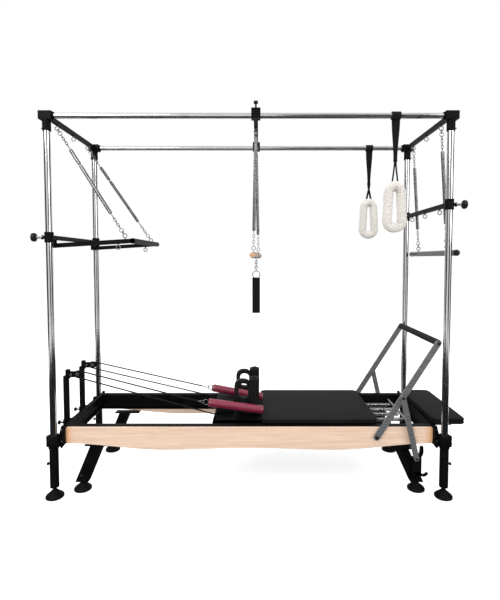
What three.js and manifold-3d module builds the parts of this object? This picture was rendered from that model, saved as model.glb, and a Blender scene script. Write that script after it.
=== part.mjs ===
// A pilates tower unit: a tall tube tower standing over a low reformer bed.
// Millimetres, +Z up, +X towards the foot end of the bed, +Y towards the back.
// The model stands on the floor with its origin under the middle of its bounding box.
import * as THREE from 'three';
import { mergeVertices } from 'three/addons/utils/BufferGeometryUtils.js';
import Module from 'manifold-3d';

const wasm = await Module();
wasm.setup();

// Clearance between pieces that touch or seat, and the overrun of every cut
const fit = 0.3;
const overrun = 1;
const weld = 0.0001;

// Tower: post spacing along and across the bed, height of the top tubes
const tower = { length: 2280, width: 700, height: 2200 };
const post = { diameter: 38, wall: 2, sides: 12 };
const topTube = { diameter: 32, wall: 2, socketDepth: 26 };
const corner = { length: 74, height: 46, depth: 50, sleeveDiameter: 47, sleeveLength: 62, screwRise: 15.5,
  screwRadius: 4, screwLength: 9 };
const crossBar = { width: 25, height: 25 };
const eye = { ringRadius: 12, wireRadius: 2.4, stemLength: 8, spread: 225, shank: 6 };

// Corner legs with their clamps, bracket plates and levelling feet
const foot = { radius: 51, rim: 12, edge: 4, neckRadius: 10, coneTop: 48 };
const leg = { radius: 25, bottom: 60, sleeveRadius: 29, sleeveBottom: 292, top: 370, bore: 76 };
const lug = { reach: 10, sink: 4, width: 22, height: 64, drop: 5, boltRadius: 7, boltLength: 5,
  boltSpacing: 34 };
const legKnob = { height: 198, stemRadius: 4, stemLength: 7, radius: 9, length: 9 };
const bracket = { top: 417, bottom: 300, point: 282, thickness: 12, inset: 25, sink: 6, gap: 1,
  boltRadius: 5, boltLength: 3, boltShares: [0.2, 0.8] };

// Bed: timber side rails, running tracks and end beams
const rail = { outer: 315, thickness: 35, top: 403, endBottom: 303, bellyBottom: 264, bellyInset: 640,
  cornerRadius: 14 };
const track = { wall: 5, ledgeTop: 340, ledgeWidth: 30, bottom: 300, lipWidth: 31 };
const beam = { web: 8, depth: 23, bottom: 300, top: 405, flange: 8 };

// Inner legs under the rails, and the hooks on the pair at the foot end
const innerLeg = { centre: 265, thickness: 40, topInset: 225, footInset: 130, width: 78, flangeInset: 145,
  flangeLength: 195, flangeThickness: 27, flangeWidth: 52, bottom: 52, boltRadius: 7 };
const hook = { thickness: 14, band: 22, notchRadius: 34, tipHeight: 29, lowBand: 12, lowRadius: 18 };

// Standing platform at the foot end
const platform = { inset: 40, length: 180, halfWidth: 290, thickness: 37, top: 442.5, cornerRadius: 32,
  edge: 8 };
const platformArm = { spread: 200, width: 34, height: 30, reach: 140 };

// Risers with their pulleys at the head end
const riser = { offset: 25, spread: 120, width: 28, bottom: 318, top: 655, clampBottom: 330, clampTop: 378,
  clampWall: 4 };
const riserKnob = { height: 354, stemRadius: 5, reach: 30, radius: 13, length: 12 };
const sheave = { inset: 50, z: 665, radius: 24, grooveRadius: 18, width: 11, rim: 1.5, flat: 2, bore: 4.3,
  axleRadius: 4 };
const fork = { gap: 9, plate: 3, behind: 52, ahead: 42, below: 28, above: 30 };

// Carriage, running wheels and upholstery
const carriage = { inset: 375, length: 990, halfWidth: 243, deckTop: 410.5, deck: 15, skirtBottom: 350,
  skirt: 16 };
const wheel = { radius: 22, width: 20, axleRadius: 6, headInset: 75, footInset: 105, track: 258 };
const pad = { overhang: 5, length: 700, halfWidth: 290, bottom: 411, top: 442.5, crown: 4, cornerRadius: 34,
  edge: 10 };
const headrest = { inset: 3, length: 118, halfWidth: 110, bottom: 411, top: 475, crown: 4, edge: 9,
  cornerRadius: 24 };
const shoulder = { inset: 129, length: 157, columnInset: 91, spread: 120, halfWidth: 42, top: 640,
  holeInset: 23, holeLength: 63, holeBottom: 523, holeTop: 590, loopThickness: 26, cornerRadius: 19,
  columnRadius: 18, crown: 6 };
const springBar = { inset: 150, z: 380, radius: 8 };
const bedSpring = { spacing: 90, rows: 4, radius: 10, wireRadius: 2, turns: 2 };

// Foot bar: arms pivoted outside the rails, a foam roller and a pair of hooked struts
const footBar = { inset: 387, pivotZ: 344, length: 662, angle: 57.9, armInner: 320, armThickness: 8,
  armWidth: 36, bossRadius: 12, coreRadius: 10, rollerRadius: 20 };
const strut = { along: 280, length: 370, angle: -77, inner: 330, thickness: 8, width: 32, pinRadius: 7,
  pinGap: 1.5, lowFold: -29, ratio: -0.79, boltRadius: 8, boltLength: 5 };

// Sliding cross bars on the posts, their blocks and the spring loaded pull pins
const block = { radius: 25, height: 60, bar: 25 };
const pullPin = { collarRadius: 9, collarReach: 34, clearance: 0.6, rodRadius: 5, discRadius: 10,
  discLength: 4.9, knobRadius: 25, knobLength: 28, reach: 100 };
const pushSlider = { drop: 682 };
const rollSlider = { drop: 496 };

// Push-through bar at the head end
const pushBar = { pivotDrop: 46, spread: 300, armWidth: 26, armThickness: 12, length: 462, angle: 3.5,
  handleRadius: 16, boltRadius: 4, headRadius: 8, headLength: 4, eyeInset: 44, lowEyeInset: 84 };

// Long springs with their links; the count of curls is shared by all the long springs
const longSpring = { radius: 9, wireRadius: 2.2, turns: 5, ringRadius: 12, linkRadius: 9, linkWire: 2.2,
  hookRadius: 3.4, hookLead: 12 };

// Roll-down bar outside the foot posts
const rollBar = { offset: 46, drop: 770, halfSpan: 358, radius: 17, capLength: 12, capRadius: 18,
  eyeRise: 37 };

// Trapeze slider, bar and strap
const trapeze = { x: 40, drop: 782, halfSpan: 300, radius: 15, yaw: 4.5, spread: 200, edge: 3 };
const saddle = { length: 52, wall: 9, below: 19, above: 38, knobRadius: 9, knobReach: 37, knobWidth: 24 };
const strap = { width: 50, thickness: 5, drop: 146, length: 232, gap: 16 };
const strapRing = { radius: 24, wireRadius: 2.5, drop: 125, linkRadius: 9, linkPitch: 16, links: 5 };

// Fleece loops hanging on webbing from the top tubes
const loop = { frontInset: 311, backInset: 278, drop: 370, length: 280, halfWidth: 62, thickness: 56,
  tube: 21, neckDrop: 251, neckOverlap: 4, tailReach: 16, tailWidth: 10, strapWidth: 50, strapNeck: 22,
  strapThickness: 3, hitch: 7 };

// Ropes from the handles round the pulleys to the carriage, and the handles themselves
const rope = { diameter: 6, sides: 8, carriageSpread: 160, postInset: 10, postTop: 432, postZ: 425,
  lead: 45, endRun: 12, wrapSteps: 11, runShares: [0.08, 0.5, 0.92, 1] };
const grip = { radius: 25, sides: 12, ringRadius: 14, ringWire: 2.4, hookLength: 40, hookRadius: 4, edge: 5,
  overhang: 30, run: 340, frontY: 200, backY: 50, frontZ: 511, backZ: 526, restZ: 464 };

// Places along the bed, worked out from the posts inward or from the carriage
const halfLength = tower.length / 2;
const bedHalf = halfLength - leg.sleeveRadius - bracket.gap - beam.depth - fit;
const carriageFoot = halfLength - carriage.inset;
const carriageHead = carriageFoot - carriage.length;
const shoulderHead = carriageHead + shoulder.inset;
const sheaveX = halfLength - sheave.inset;
const flangeOuter = halfLength - innerLeg.flangeInset;
const platformInner = halfLength - platform.inset;
const padFoot = carriageFoot + pad.overhang;
const place = {
  bellyEnd: halfLength - rail.bellyInset,
  legTop: halfLength - innerLeg.topInset,
  legFoot: halfLength - innerLeg.footInset,
  flangeOuter,
  flangeInner: flangeOuter - innerLeg.flangeLength,
  platformInner,
  platformOuter: platformInner + platform.length,
  riser: halfLength + riser.offset,
  sheave: sheaveX,
  forkInner: sheaveX + fork.behind,
  forkOuter: sheaveX - fork.ahead,
  wheelHead: carriageHead + wheel.headInset,
  wheelFoot: carriageFoot - wheel.footInset,
  padHead: padFoot - pad.length,
  padFoot,
  headrestHead: carriageHead + headrest.inset,
  headrestFoot: carriageHead + headrest.inset + headrest.length,
  shoulderHead,
  shoulderFoot: shoulderHead + shoulder.length,
  column: shoulderHead + shoulder.columnInset,
  holeHead: shoulderHead + shoulder.holeInset,
  holeFoot: shoulderHead + shoulder.holeInset + shoulder.holeLength,
  springBar: halfLength - springBar.inset,
  footBarPivot: halfLength - footBar.inset,
  rollBar: halfLength + rollBar.offset,
  loopFront: halfLength - loop.frontInset,
  loopBack: halfLength - loop.backInset,
  gripHead: carriageHead - grip.overhang,
  gripFoot: carriageHead - grip.overhang + grip.run,
};

// Heights, worked out from the top tubes downward
const rollBarLevel = tower.height - rollBar.drop;
const barLevel = tower.height - trapeze.drop;
const strapTop = barLevel - strap.drop;
const loopTop = tower.height - loop.drop;
const level = {
  pushSlider: tower.height - pushSlider.drop,
  rollSlider: tower.height - rollSlider.drop,
  rollBar: rollBarLevel,
  rollEye: rollBarLevel + rollBar.eyeRise,
  saddleBottom: tower.height - saddle.below,
  saddleTop: tower.height + saddle.above,
  bar: barLevel,
  strapTop,
  strapBottom: strapTop - strap.length,
  strapRing: barLevel - strapRing.drop,
  loopNeck: tower.height - loop.neckDrop,
  loopTop,
  loopBottom: loopTop - loop.length,
  forkBottom: sheave.z - fork.below,
  forkTop: sheave.z + fork.above,
};

const materials = {
  chrome: new THREE.MeshStandardMaterial({ color: 0xc9ccd0, roughness: 0.16, metalness: 1 }),
  blackSteel: new THREE.MeshStandardMaterial({ color: 0x17181a, roughness: 0.5, metalness: 0.3 }),
  blackPlastic: new THREE.MeshStandardMaterial({ color: 0x121314, roughness: 0.55, metalness: 0 }),
  timber: new THREE.MeshStandardMaterial({ color: 0xe9bd92, roughness: 0.45, metalness: 0 }),
  greyMetal: new THREE.MeshStandardMaterial({ color: 0x6d7073, roughness: 0.42, metalness: 0.7 }),
  upholstery: new THREE.MeshStandardMaterial({ color: 0x202122, roughness: 0.6, metalness: 0 }),
  foam: new THREE.MeshStandardMaterial({ color: 0x505356, roughness: 0.9, metalness: 0 }),
  springSteel: new THREE.MeshStandardMaterial({ color: 0xa9adb1, roughness: 0.3, metalness: 1 }),
  fleece: new THREE.MeshStandardMaterial({ color: 0xf0ead8, roughness: 1, metalness: 0 }),
  webbing: new THREE.MeshStandardMaterial({ color: 0x0e0e0f, roughness: 0.9, metalness: 0 }),
  redGrip: new THREE.MeshStandardMaterial({ color: 0x9c1f3a, roughness: 0.7, metalness: 0 }),
};

// Signs of the four sides: the head is at -X and the front at -Y
const ends = { head: -1, foot: 1 };
const sides = { front: -1, back: 1 };
const radians = THREE.MathUtils.degToRad;
const vector = (x, y, z) => new THREE.Vector3(x, y, z);

const model = new THREE.Group();
function add(name, geometry, material) {
  const mesh = new THREE.Mesh(geometry, material);
  mesh.name = name;
  model.add(mesh);
  return mesh;
}

// Solids: a closed geometry with its faces turned out, and what manifold makes of it
function bare(geometry) {
  const plain = geometry.index ? geometry.toNonIndexed() : geometry.clone();
  for (const name of Object.keys(plain.attributes)) {
    if (name !== 'position') plain.deleteAttribute(name);
  }
  return mergeVertices(plain, weld);
}

function signedVolume(geometry) {
  const p = geometry.attributes.position;
  const index = geometry.index;
  const a = new THREE.Vector3();
  const b = new THREE.Vector3();
  const c = new THREE.Vector3();
  let total = 0;
  for (let i = 0; i < index.count; i += 3) {
    a.fromBufferAttribute(p, index.getX(i));
    b.fromBufferAttribute(p, index.getX(i + 1));
    c.fromBufferAttribute(p, index.getX(i + 2));
    total += a.dot(b.cross(c));
  }
  return total;
}

function outward(geometry) {
  const closed = bare(geometry);
  if (signedVolume(closed) < 0) {
    const order = Array.from(closed.index.array);
    for (let i = 0; i < order.length; i += 3) [order[i], order[i + 1]] = [order[i + 1], order[i]];
    closed.setIndex(order);
  }
  return closed;
}

function solid(geometry) {
  const closed = outward(geometry);
  const mesh = new wasm.Mesh({
    numProp: 3,
    vertProperties: new Float32Array(closed.attributes.position.array),
    triVerts: new Uint32Array(closed.index.array),
  });
  return new wasm.Manifold(mesh);
}

function shell(manifold) {
  const mesh = manifold.getMesh();
  const geometry = new THREE.BufferGeometry();
  geometry.setAttribute('position', new THREE.BufferAttribute(new Float32Array(mesh.vertProperties), 3));
  geometry.setIndex(Array.from(mesh.triVerts));
  return geometry;
}

function joined(pieces, cuts = []) {
  let whole = solid(pieces[0]);
  for (const piece of pieces.slice(1)) whole = whole.add(solid(piece));
  for (const piece of cuts) whole = whole.subtract(solid(piece));
  return shell(whole);
}

// A box between two corners
function box(x0, x1, y0, y1, z0, z1) {
  const low = vector(Math.min(x0, x1), Math.min(y0, y1), Math.min(z0, z1));
  const high = vector(Math.max(x0, x1), Math.max(y0, y1), Math.max(z0, z1));
  const size = high.clone().sub(low);
  const middle = low.add(high).multiplyScalar(0.5);
  return new THREE.BoxGeometry(size.x, size.y, size.z).translate(middle.x, middle.y, middle.z);
}

// A round rod from one point to another
function rod(from, to, radius, count = 10, farRadius = radius) {
  const along = to.clone().sub(from);
  const geometry = new THREE.CylinderGeometry(farRadius, radius, along.length(), count);
  const turn = new THREE.Quaternion().setFromUnitVectors(vector(0, 1, 0), along.clone().normalize());
  const middle = from.clone().add(to).multiplyScalar(0.5);
  return geometry.applyQuaternion(turn).translate(middle.x, middle.y, middle.z);
}

// A profile of radius and height turned round an upright axis
function turned(profile, count, x = 0, y = 0) {
  const points = profile.map(([radius, height]) => new THREE.Vector2(radius, height));
  return new THREE.LatheGeometry(points, count).rotateX(Math.PI / 2).translate(x, y, 0);
}

// A hollow tube from one point to another
function tube(from, to, radius, wall, count) {
  const length = from.distanceTo(to);
  const profile = [[radius - wall, 0], [radius, 0], [radius, length], [radius - wall, length],
    [radius - wall, 0]];
  const points = profile.map(([r, h]) => new THREE.Vector2(r, h));
  const turn = new THREE.Quaternion().setFromUnitVectors(vector(0, 1, 0), to.clone().sub(from).normalize());
  return new THREE.LatheGeometry(points, count).applyQuaternion(turn).translate(from.x, from.y, from.z);
}

// A ring of wire about a centre, its normal along the given direction
function ring(centre, normal, radius, wireRadius, count = 8, around = 3) {
  const turn = new THREE.Quaternion().setFromUnitVectors(vector(0, 0, 1), normal.clone().normalize());
  return new THREE.TorusGeometry(radius, wireRadius, around, count).applyQuaternion(turn)
    .translate(centre.x, centre.y, centre.z);
}

// Flat outlines: drawn in X and Z and given a thickness along Y, or drawn in Y and Z and run along X
function extruded(shape, depth, curveSegments = 6, bevel = null) {
  const options = { depth, curveSegments, bevelEnabled: false };
  if (bevel) {
    Object.assign(options, { bevelEnabled: true, bevelThickness: bevel, bevelSize: bevel,
      bevelOffset: -bevel,
      bevelSegments: 1, depth: depth - 2 * bevel });
  }
  const geometry = new THREE.ExtrudeGeometry(shape, options);
  return bevel ? geometry.translate(0, 0, bevel) : geometry;
}

function plateXZ(shape, y0, y1, curveSegments = 4) {
  const basis = new THREE.Matrix4().makeBasis(vector(1, 0, 0), vector(0, 0, 1), vector(0, -1, 0));
  const depth = Math.abs(y1 - y0);
  return extruded(shape, depth, curveSegments).applyMatrix4(basis).translate(0, Math.max(y0, y1), 0);
}

function barYZ(shape, x0, x1, curveSegments = 6) {
  const basis = new THREE.Matrix4().makeBasis(vector(0, 1, 0), vector(0, 0, 1), vector(1, 0, 0));
  return extruded(shape, x1 - x0, curveSegments).applyMatrix4(basis).translate(x0, 0, 0);
}

function barXZ(points, y0, y1) {
  return plateXZ(new THREE.Shape(points.map(([x, z]) => new THREE.Vector2(x, z))), y0, y1);
}

function roundedRectangle(x0, x1, z0, z1, radius) {
  const shape = new THREE.Shape();
  shape.moveTo(x0 + radius, z0);
  shape.lineTo(x1 - radius, z0);
  shape.absarc(x1 - radius, z0 + radius, radius, -Math.PI / 2, 0);
  shape.lineTo(x1, z1 - radius);
  shape.absarc(x1 - radius, z1 - radius, radius, 0, Math.PI / 2);
  shape.lineTo(x0 + radius, z1);
  shape.absarc(x0 + radius, z1 - radius, radius, Math.PI / 2, Math.PI);
  shape.lineTo(x0, z0 + radius);
  shape.absarc(x0 + radius, z0 + radius, radius, Math.PI, Math.PI * 1.5);
  return shape;
}

// A flat bar with round ends between two points in the X and Z plane
function roundBar(from, to, width, y0, y1) {
  const half = width / 2;
  const direction = Math.atan2(to.z - from.z, to.x - from.x);
  const shape = new THREE.Shape();
  shape.absarc(to.x, to.z, half, direction - Math.PI / 2, direction + Math.PI / 2);
  shape.absarc(from.x, from.z, half, direction + Math.PI / 2, direction + Math.PI * 1.5);
  return plateXZ(shape, y0, y1, 5);
}

// A band of constant width along an arc in the X and Z plane
function arcBand(x, z, radius, width, fromAngle, toAngle, y0, y1) {
  const shape = new THREE.Shape();
  shape.absarc(x, z, radius + width, radians(fromAngle), radians(toAngle));
  shape.absarc(x, z, radius, radians(toAngle), radians(fromAngle), true);
  return plateXZ(shape, y0, y1, 6);
}

// Tower posts and top tubes, hollow and open ended
const postBase = leg.top - leg.bore + fit;
const postTop = tower.height - topTube.diameter / 2 - fit;
const socketEnd = halfLength - topTube.socketDepth / 2;

function towerTubes() {
  for (const [sideName, side] of Object.entries(sides)) {
    const y = side * tower.width / 2;
    for (const [endName, end] of Object.entries(ends)) {
      const x = end * halfLength;
      add(`post_${sideName}_${endName}`,
        tube(vector(x, y, postBase), vector(x, y, postTop), post.diameter / 2, post.wall, post.sides),
        materials.chrome);
    }
    add(`top_tube_${sideName}`,
      tube(vector(-socketEnd, y, tower.height), vector(socketEnd, y, tower.height), topTube.diameter / 2,
        topTube.wall, post.sides), materials.chrome);
  }
}

// An eye below a bar: a short shank and a ring whose plane is square to the bar
function eyeBelow(x, y, under, normal) {
  const centre = vector(x, y, under - eye.stemLength - eye.ringRadius);
  return [
    rod(vector(x, y, under + overrun), vector(x, y, centre.z + eye.ringRadius), eye.shank / 2, 6),
    ring(centre, normal, eye.ringRadius, eye.wireRadius),
  ];
}
const eyeCentreDrop = eye.stemLength + eye.ringRadius;
const crossUnder = tower.height - crossBar.height / 2;
const eyeLevel = crossUnder - eyeCentreDrop;

// Cross bar at one end of the tower with its corner fittings and three eyes
function topFrame(endName, end) {
  const x = end * halfLength;
  const half = tower.width / 2;
  const pieces = [box(x - crossBar.width / 2, x + crossBar.width / 2, -half, half, crossUnder,
    tower.height + crossBar.height / 2)];
  const cuts = [];
  for (const side of [-1, 1]) {
    const y = side * half;
    const sleeveBottom = tower.height - corner.height / 2 - corner.sleeveLength;
    pieces.push(box(x - corner.length / 2, x + corner.length / 2, y - corner.depth / 2,
      y + corner.depth / 2,
      tower.height - corner.height / 2, tower.height + corner.height / 2));
    pieces.push(rod(vector(x, y, sleeveBottom), vector(x, y, tower.height), corner.sleeveDiameter / 2,
      post.sides));
    const screwZ = sleeveBottom + corner.screwRise;
    const screwEnd = x + end * (corner.sleeveDiameter / 2 + corner.screwLength);
    pieces.push(rod(vector(x, y, screwZ), vector(screwEnd, y, screwZ), corner.screwRadius, 6));
    cuts.push(rod(vector(x, y, sleeveBottom - overrun), vector(x, y, postTop + fit),
      post.diameter / 2 + fit, post.sides));
    cuts.push(rod(vector(x - end * corner.length, y, tower.height),
      vector(end * (socketEnd + fit), y, tower.height),
      topTube.diameter / 2 + fit, post.sides));
  }
  for (const step of [-1, 0, 1]) {
    pieces.push(...eyeBelow(x, step * eye.spread, crossUnder, vector(0, 1, 0)));
  }
  add(`${endName}_cross_bar`, joined(pieces, cuts), materials.blackSteel);
}

// Corner leg: levelling foot, leg tube, clamp sleeve with lug and bolts, lock knob and bracket plate
function cornerLeg(sideName, side, endName, end) {
  const x = end * halfLength;
  const y = side * tower.width / 2;
  const profile = [[0, 0], [foot.radius - foot.edge, 0], [foot.radius, foot.edge], [foot.radius, foot.rim],
    [foot.neckRadius, foot.coneTop], [foot.neckRadius, leg.bottom],
    [leg.radius, leg.bottom], [leg.radius, leg.sleeveBottom], [leg.sleeveRadius, leg.sleeveBottom],
    [leg.sleeveRadius, leg.top], [post.diameter / 2 + fit, leg.top],
    [post.diameter / 2 + fit, leg.top - leg.bore],
    [0, leg.top - leg.bore]];
  const lugFace = x + end * (leg.sleeveRadius + lug.reach);
  const lugMiddle = leg.top - lug.height / 2 - lug.drop;
  const pieces = [turned(profile, post.sides, x, y),
    box(x + end * (leg.sleeveRadius - lug.sink), lugFace, y - lug.width / 2, y + lug.width / 2,
      lugMiddle - lug.height / 2, lugMiddle + lug.height / 2)];
  for (const step of [-1, 1]) {
    const z = lugMiddle + step * lug.boltSpacing / 2;
    pieces.push(rod(vector(lugFace - end * overrun, y, z), vector(lugFace + end * lug.boltLength, y, z),
      lug.boltRadius, 6));
  }
  const knobStart = x + end * (leg.radius - overrun);
  const knobMiddle = x + end * (leg.radius + legKnob.stemLength);
  pieces.push(rod(vector(knobStart, y, legKnob.height),
    vector(knobMiddle + end * overrun, y, legKnob.height),
    legKnob.stemRadius, 6));
  pieces.push(rod(vector(knobMiddle, y, legKnob.height),
    vector(knobMiddle + end * legKnob.length, y, legKnob.height),
    legKnob.radius, 8));
  const plateOuter = side * (tower.width / 2 - bracket.inset + bracket.thickness);
  const plateInner = side * (tower.width / 2 - bracket.inset);
  const insideX = end * (bedHalf + fit);
  const wallX = x - end * (leg.sleeveRadius - bracket.sink);
  const middleX = (insideX + wallX) / 2;
  pieces.push(barXZ([[wallX, bracket.bottom], [middleX, bracket.point], [insideX, bracket.bottom],
    [insideX, bracket.top], [middleX, bracket.top], [wallX, leg.top - lug.reach]], plateOuter, plateInner));
  for (const share of bracket.boltShares) {
    const z = bracket.bottom + share * (bracket.top - bracket.bottom);
    pieces.push(rod(vector(middleX, plateOuter - side * overrun, z),
      vector(middleX, plateOuter + side * bracket.boltLength, z), bracket.boltRadius, 6));
  }
  add(`leg_${sideName}_${endName}`, joined(pieces), materials.blackSteel);
}

// Underside of a side rail: a full belly that rises smoothly to the ends
function railUnder(x) {
  const t = THREE.MathUtils.clamp((Math.abs(x) - place.bellyEnd) / (bedHalf - place.bellyEnd), 0, 1);
  return rail.bellyBottom + (rail.endBottom - rail.bellyBottom) * t * t * (3 - 2 * t);
}
const railInner = rail.outer - rail.thickness;
const bellySteps = 6;
const bellyX = step => place.bellyEnd + (bedHalf - rail.cornerRadius - place.bellyEnd) * step / bellySteps;
function railSoffit(x) {
  const step = Math.floor((x - place.bellyEnd) / (bellyX(1) - bellyX(0)));
  const share = (x - bellyX(step)) / (bellyX(step + 1) - bellyX(step));
  return THREE.MathUtils.lerp(railUnder(bellyX(step)), railUnder(bellyX(step + 1)), share);
}

function sideRail(sideName, side) {
  const shape = new THREE.Shape();
  const r = rail.cornerRadius;
  shape.moveTo(-bedHalf, rail.top - r);
  shape.absarc(-bedHalf + r, rail.top - r, r, Math.PI, Math.PI / 2, true);
  shape.lineTo(bedHalf - r, rail.top);
  shape.absarc(bedHalf - r, rail.top - r, r, Math.PI / 2, 0, true);
  shape.lineTo(bedHalf, railUnder(bedHalf) + r);
  shape.absarc(bedHalf - r, railUnder(bedHalf) + r, r, 0, -Math.PI / 2, true);
  for (let step = bellySteps - 1; step >= 0; step -= 1) shape.lineTo(bellyX(step), railUnder(bellyX(step)));
  for (let step = 0; step < bellySteps; step += 1) shape.lineTo(-bellyX(step), railUnder(bellyX(step)));
  shape.absarc(-bedHalf + r, railUnder(bedHalf) + r, r, -Math.PI / 2, -Math.PI, true);
  add(`side_rail_${sideName}`, plateXZ(shape, side * rail.outer, side * railInner), materials.timber);
}

// Running track: a lip over the timber, a web down its inner face and the ledge that the wheels run on
function runningTrack(sideName, side) {
  const web = railInner - fit;
  const inner = web - track.wall;
  const lipBottom = rail.top + fit;
  const outline = [[web + track.lipWidth, lipBottom], [web + track.lipWidth, lipBottom + track.wall],
    [inner, lipBottom + track.wall], [inner, track.ledgeTop], [inner - track.ledgeWidth, track.ledgeTop],
    [inner - track.ledgeWidth, track.ledgeTop - track.wall], [inner, track.ledgeTop - track.wall],
    [inner, track.bottom], [web, track.bottom], [web, lipBottom]];
  const shape = new THREE.Shape(outline.map(([y, z]) => new THREE.Vector2(side * y, z)));
  add(`track_${sideName}`, barYZ(shape, -bedHalf, bedHalf), materials.blackSteel);
}

// End beam: a channel across the bed; the foot end one carries the arms of the standing platform
const beamHalf = tower.width / 2 - bracket.inset - fit;
function endBeam(endName, end) {
  const inner = end * (bedHalf + fit);
  const outer = end * (bedHalf + fit + beam.depth);
  const web = end * (bedHalf + fit + beam.depth - beam.web);
  const pieces = [
    box(web, outer, -beamHalf, beamHalf, beam.bottom, beam.top - platformSeat(end)),
    box(inner, outer, -beamHalf, beamHalf, beam.bottom, beam.bottom + beam.flange),
    box(inner, outer, -beamHalf, beamHalf, beam.top - beam.flange - platformSeat(end),
      beam.top - platformSeat(end)),
  ];
  if (end > 0) {
    for (const side of [-1, 1]) {
      const y = side * platformArm.spread;
      const armTop = platform.top - platform.thickness - fit;
      pieces.push(box(web, place.platformInner + platformArm.reach, y - platformArm.width / 2,
        y + platformArm.width / 2,
        armTop - platformArm.height, armTop));
    }
  }
  add(`${endName}_end_beam`, joined(pieces), materials.blackSteel);
}
function platformSeat(end) {
  return end > 0 ? beam.top - (platform.top - platform.thickness - fit) : 0;
}

function standingPlatform() {
  const shape = roundedRectangle(place.platformInner, place.platformOuter, -platform.halfWidth,
    platform.halfWidth,
    platform.cornerRadius);
  const geometry = extruded(shape, platform.thickness, 4, platform.edge);
  add('standing_platform', geometry.translate(0, 0, platform.top - platform.thickness),
    materials.upholstery);
}

// Inner leg: flange bolted under the rail, slanted leg, levelling foot, and hooks at the foot end
const strutDirection = fold => radians(strut.angle + fold * (1 + strut.ratio));
function strutPivot(fold = 0) {
  const angle = radians(footBar.angle + fold);
  return { x: place.footBarPivot + strut.along * Math.cos(angle),
    z: footBar.pivotZ + strut.along * Math.sin(angle) };
}
function strutPin(fold = 0) {
  const pivot = strutPivot(fold);
  return { x: pivot.x + strut.length * Math.cos(strutDirection(fold)),
    z: pivot.z + strut.length * Math.sin(strutDirection(fold)) };
}

function innerLegPiece(sideName, side, endName, end) {
  const outerY = side * (innerLeg.centre + innerLeg.thickness / 2);
  const innerY = side * (innerLeg.centre - innerLeg.thickness / 2);
  const half = innerLeg.width / 2;
  const flangeTop = railSoffit(place.flangeInner + innerLeg.flangeThickness / 2) - fit;
  const underside = flangeTop - innerLeg.flangeThickness;
  const profile = [[0, 0], [foot.radius - foot.edge, 0], [foot.radius, foot.edge], [foot.radius, foot.rim],
    [foot.neckRadius, foot.coneTop],
    [foot.neckRadius, innerLeg.bottom + overrun], [0, innerLeg.bottom + overrun]];
  const flangeRadius = innerLeg.flangeThickness / 2;
  const flange = roundedRectangle(place.flangeInner, place.flangeOuter, underside, flangeTop,
    flangeRadius - fit);
  const mirror = new THREE.Matrix4().makeScale(end, 1, 1);
  const flangeY = side * (innerLeg.centre - innerLeg.thickness / 2 + innerLeg.flangeWidth);
  const pieces = [
    turned(profile, post.sides, end * place.legFoot, side * innerLeg.centre),
    outward(plateXZ(flange, innerY, flangeY).applyMatrix4(mirror)),
    barXZ([[end * (place.legTop - half), underside + overrun],
      [end * (place.legFoot - half), innerLeg.bottom],
      [end * (place.legFoot + half), innerLeg.bottom], [end * (place.legTop + half), underside + overrun]],
    innerY, outerY),
    rod(vector(end * place.legFoot, outerY - side * overrun, innerLeg.bottom + half),
      vector(end * place.legFoot, outerY + side * lug.boltLength, innerLeg.bottom + half),
      innerLeg.boltRadius, 6),
  ];
  if (end > 0) {
    const hookY = outerY + side * hook.thickness;
    const rest = strutPin();
    const low = strutPin(strut.lowFold);
    const seat = { x: rest.x, z: rest.z + hook.notchRadius - strut.pinRadius - fit };
    const bandIn = outerY - side * overrun;
    pieces.push(arcBand(seat.x, seat.z, hook.notchRadius, hook.band, -180, 0, bandIn, hookY));
    pieces.push(box(seat.x + hook.notchRadius, seat.x + hook.notchRadius + hook.band, bandIn, hookY,
      seat.z - overrun, seat.z + hook.tipHeight));
    pieces.push(arcBand(low.x, low.z + hook.lowRadius - strut.pinRadius, hook.lowRadius, hook.lowBand,
      -190, -20,
      bandIn, hookY));
    pieces.push(box(place.legFoot - half / 2, low.x - hook.lowRadius, bandIn, hookY, low.z - hook.lowBand,
      low.z + hook.lowBand));
    pieces.push(box(place.legFoot - half, place.legFoot + half / 2, bandIn, hookY, low.z - hook.band,
      seat.z - hook.notchRadius));
  }
  add(`inner_leg_${sideName}_${endName}`, joined(pieces), materials.blackSteel);
}

towerTubes();
for (const [endName, end] of Object.entries(ends)) {
  topFrame(endName, end);
  endBeam(endName, end);
  for (const [sideName, side] of Object.entries(sides)) {
    cornerLeg(sideName, side, endName, end);
    innerLegPiece(sideName, side, endName, end);
  }
}
for (const [sideName, side] of Object.entries(sides)) {
  sideRail(sideName, side);
  runningTrack(sideName, side);
}
standingPlatform();

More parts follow.
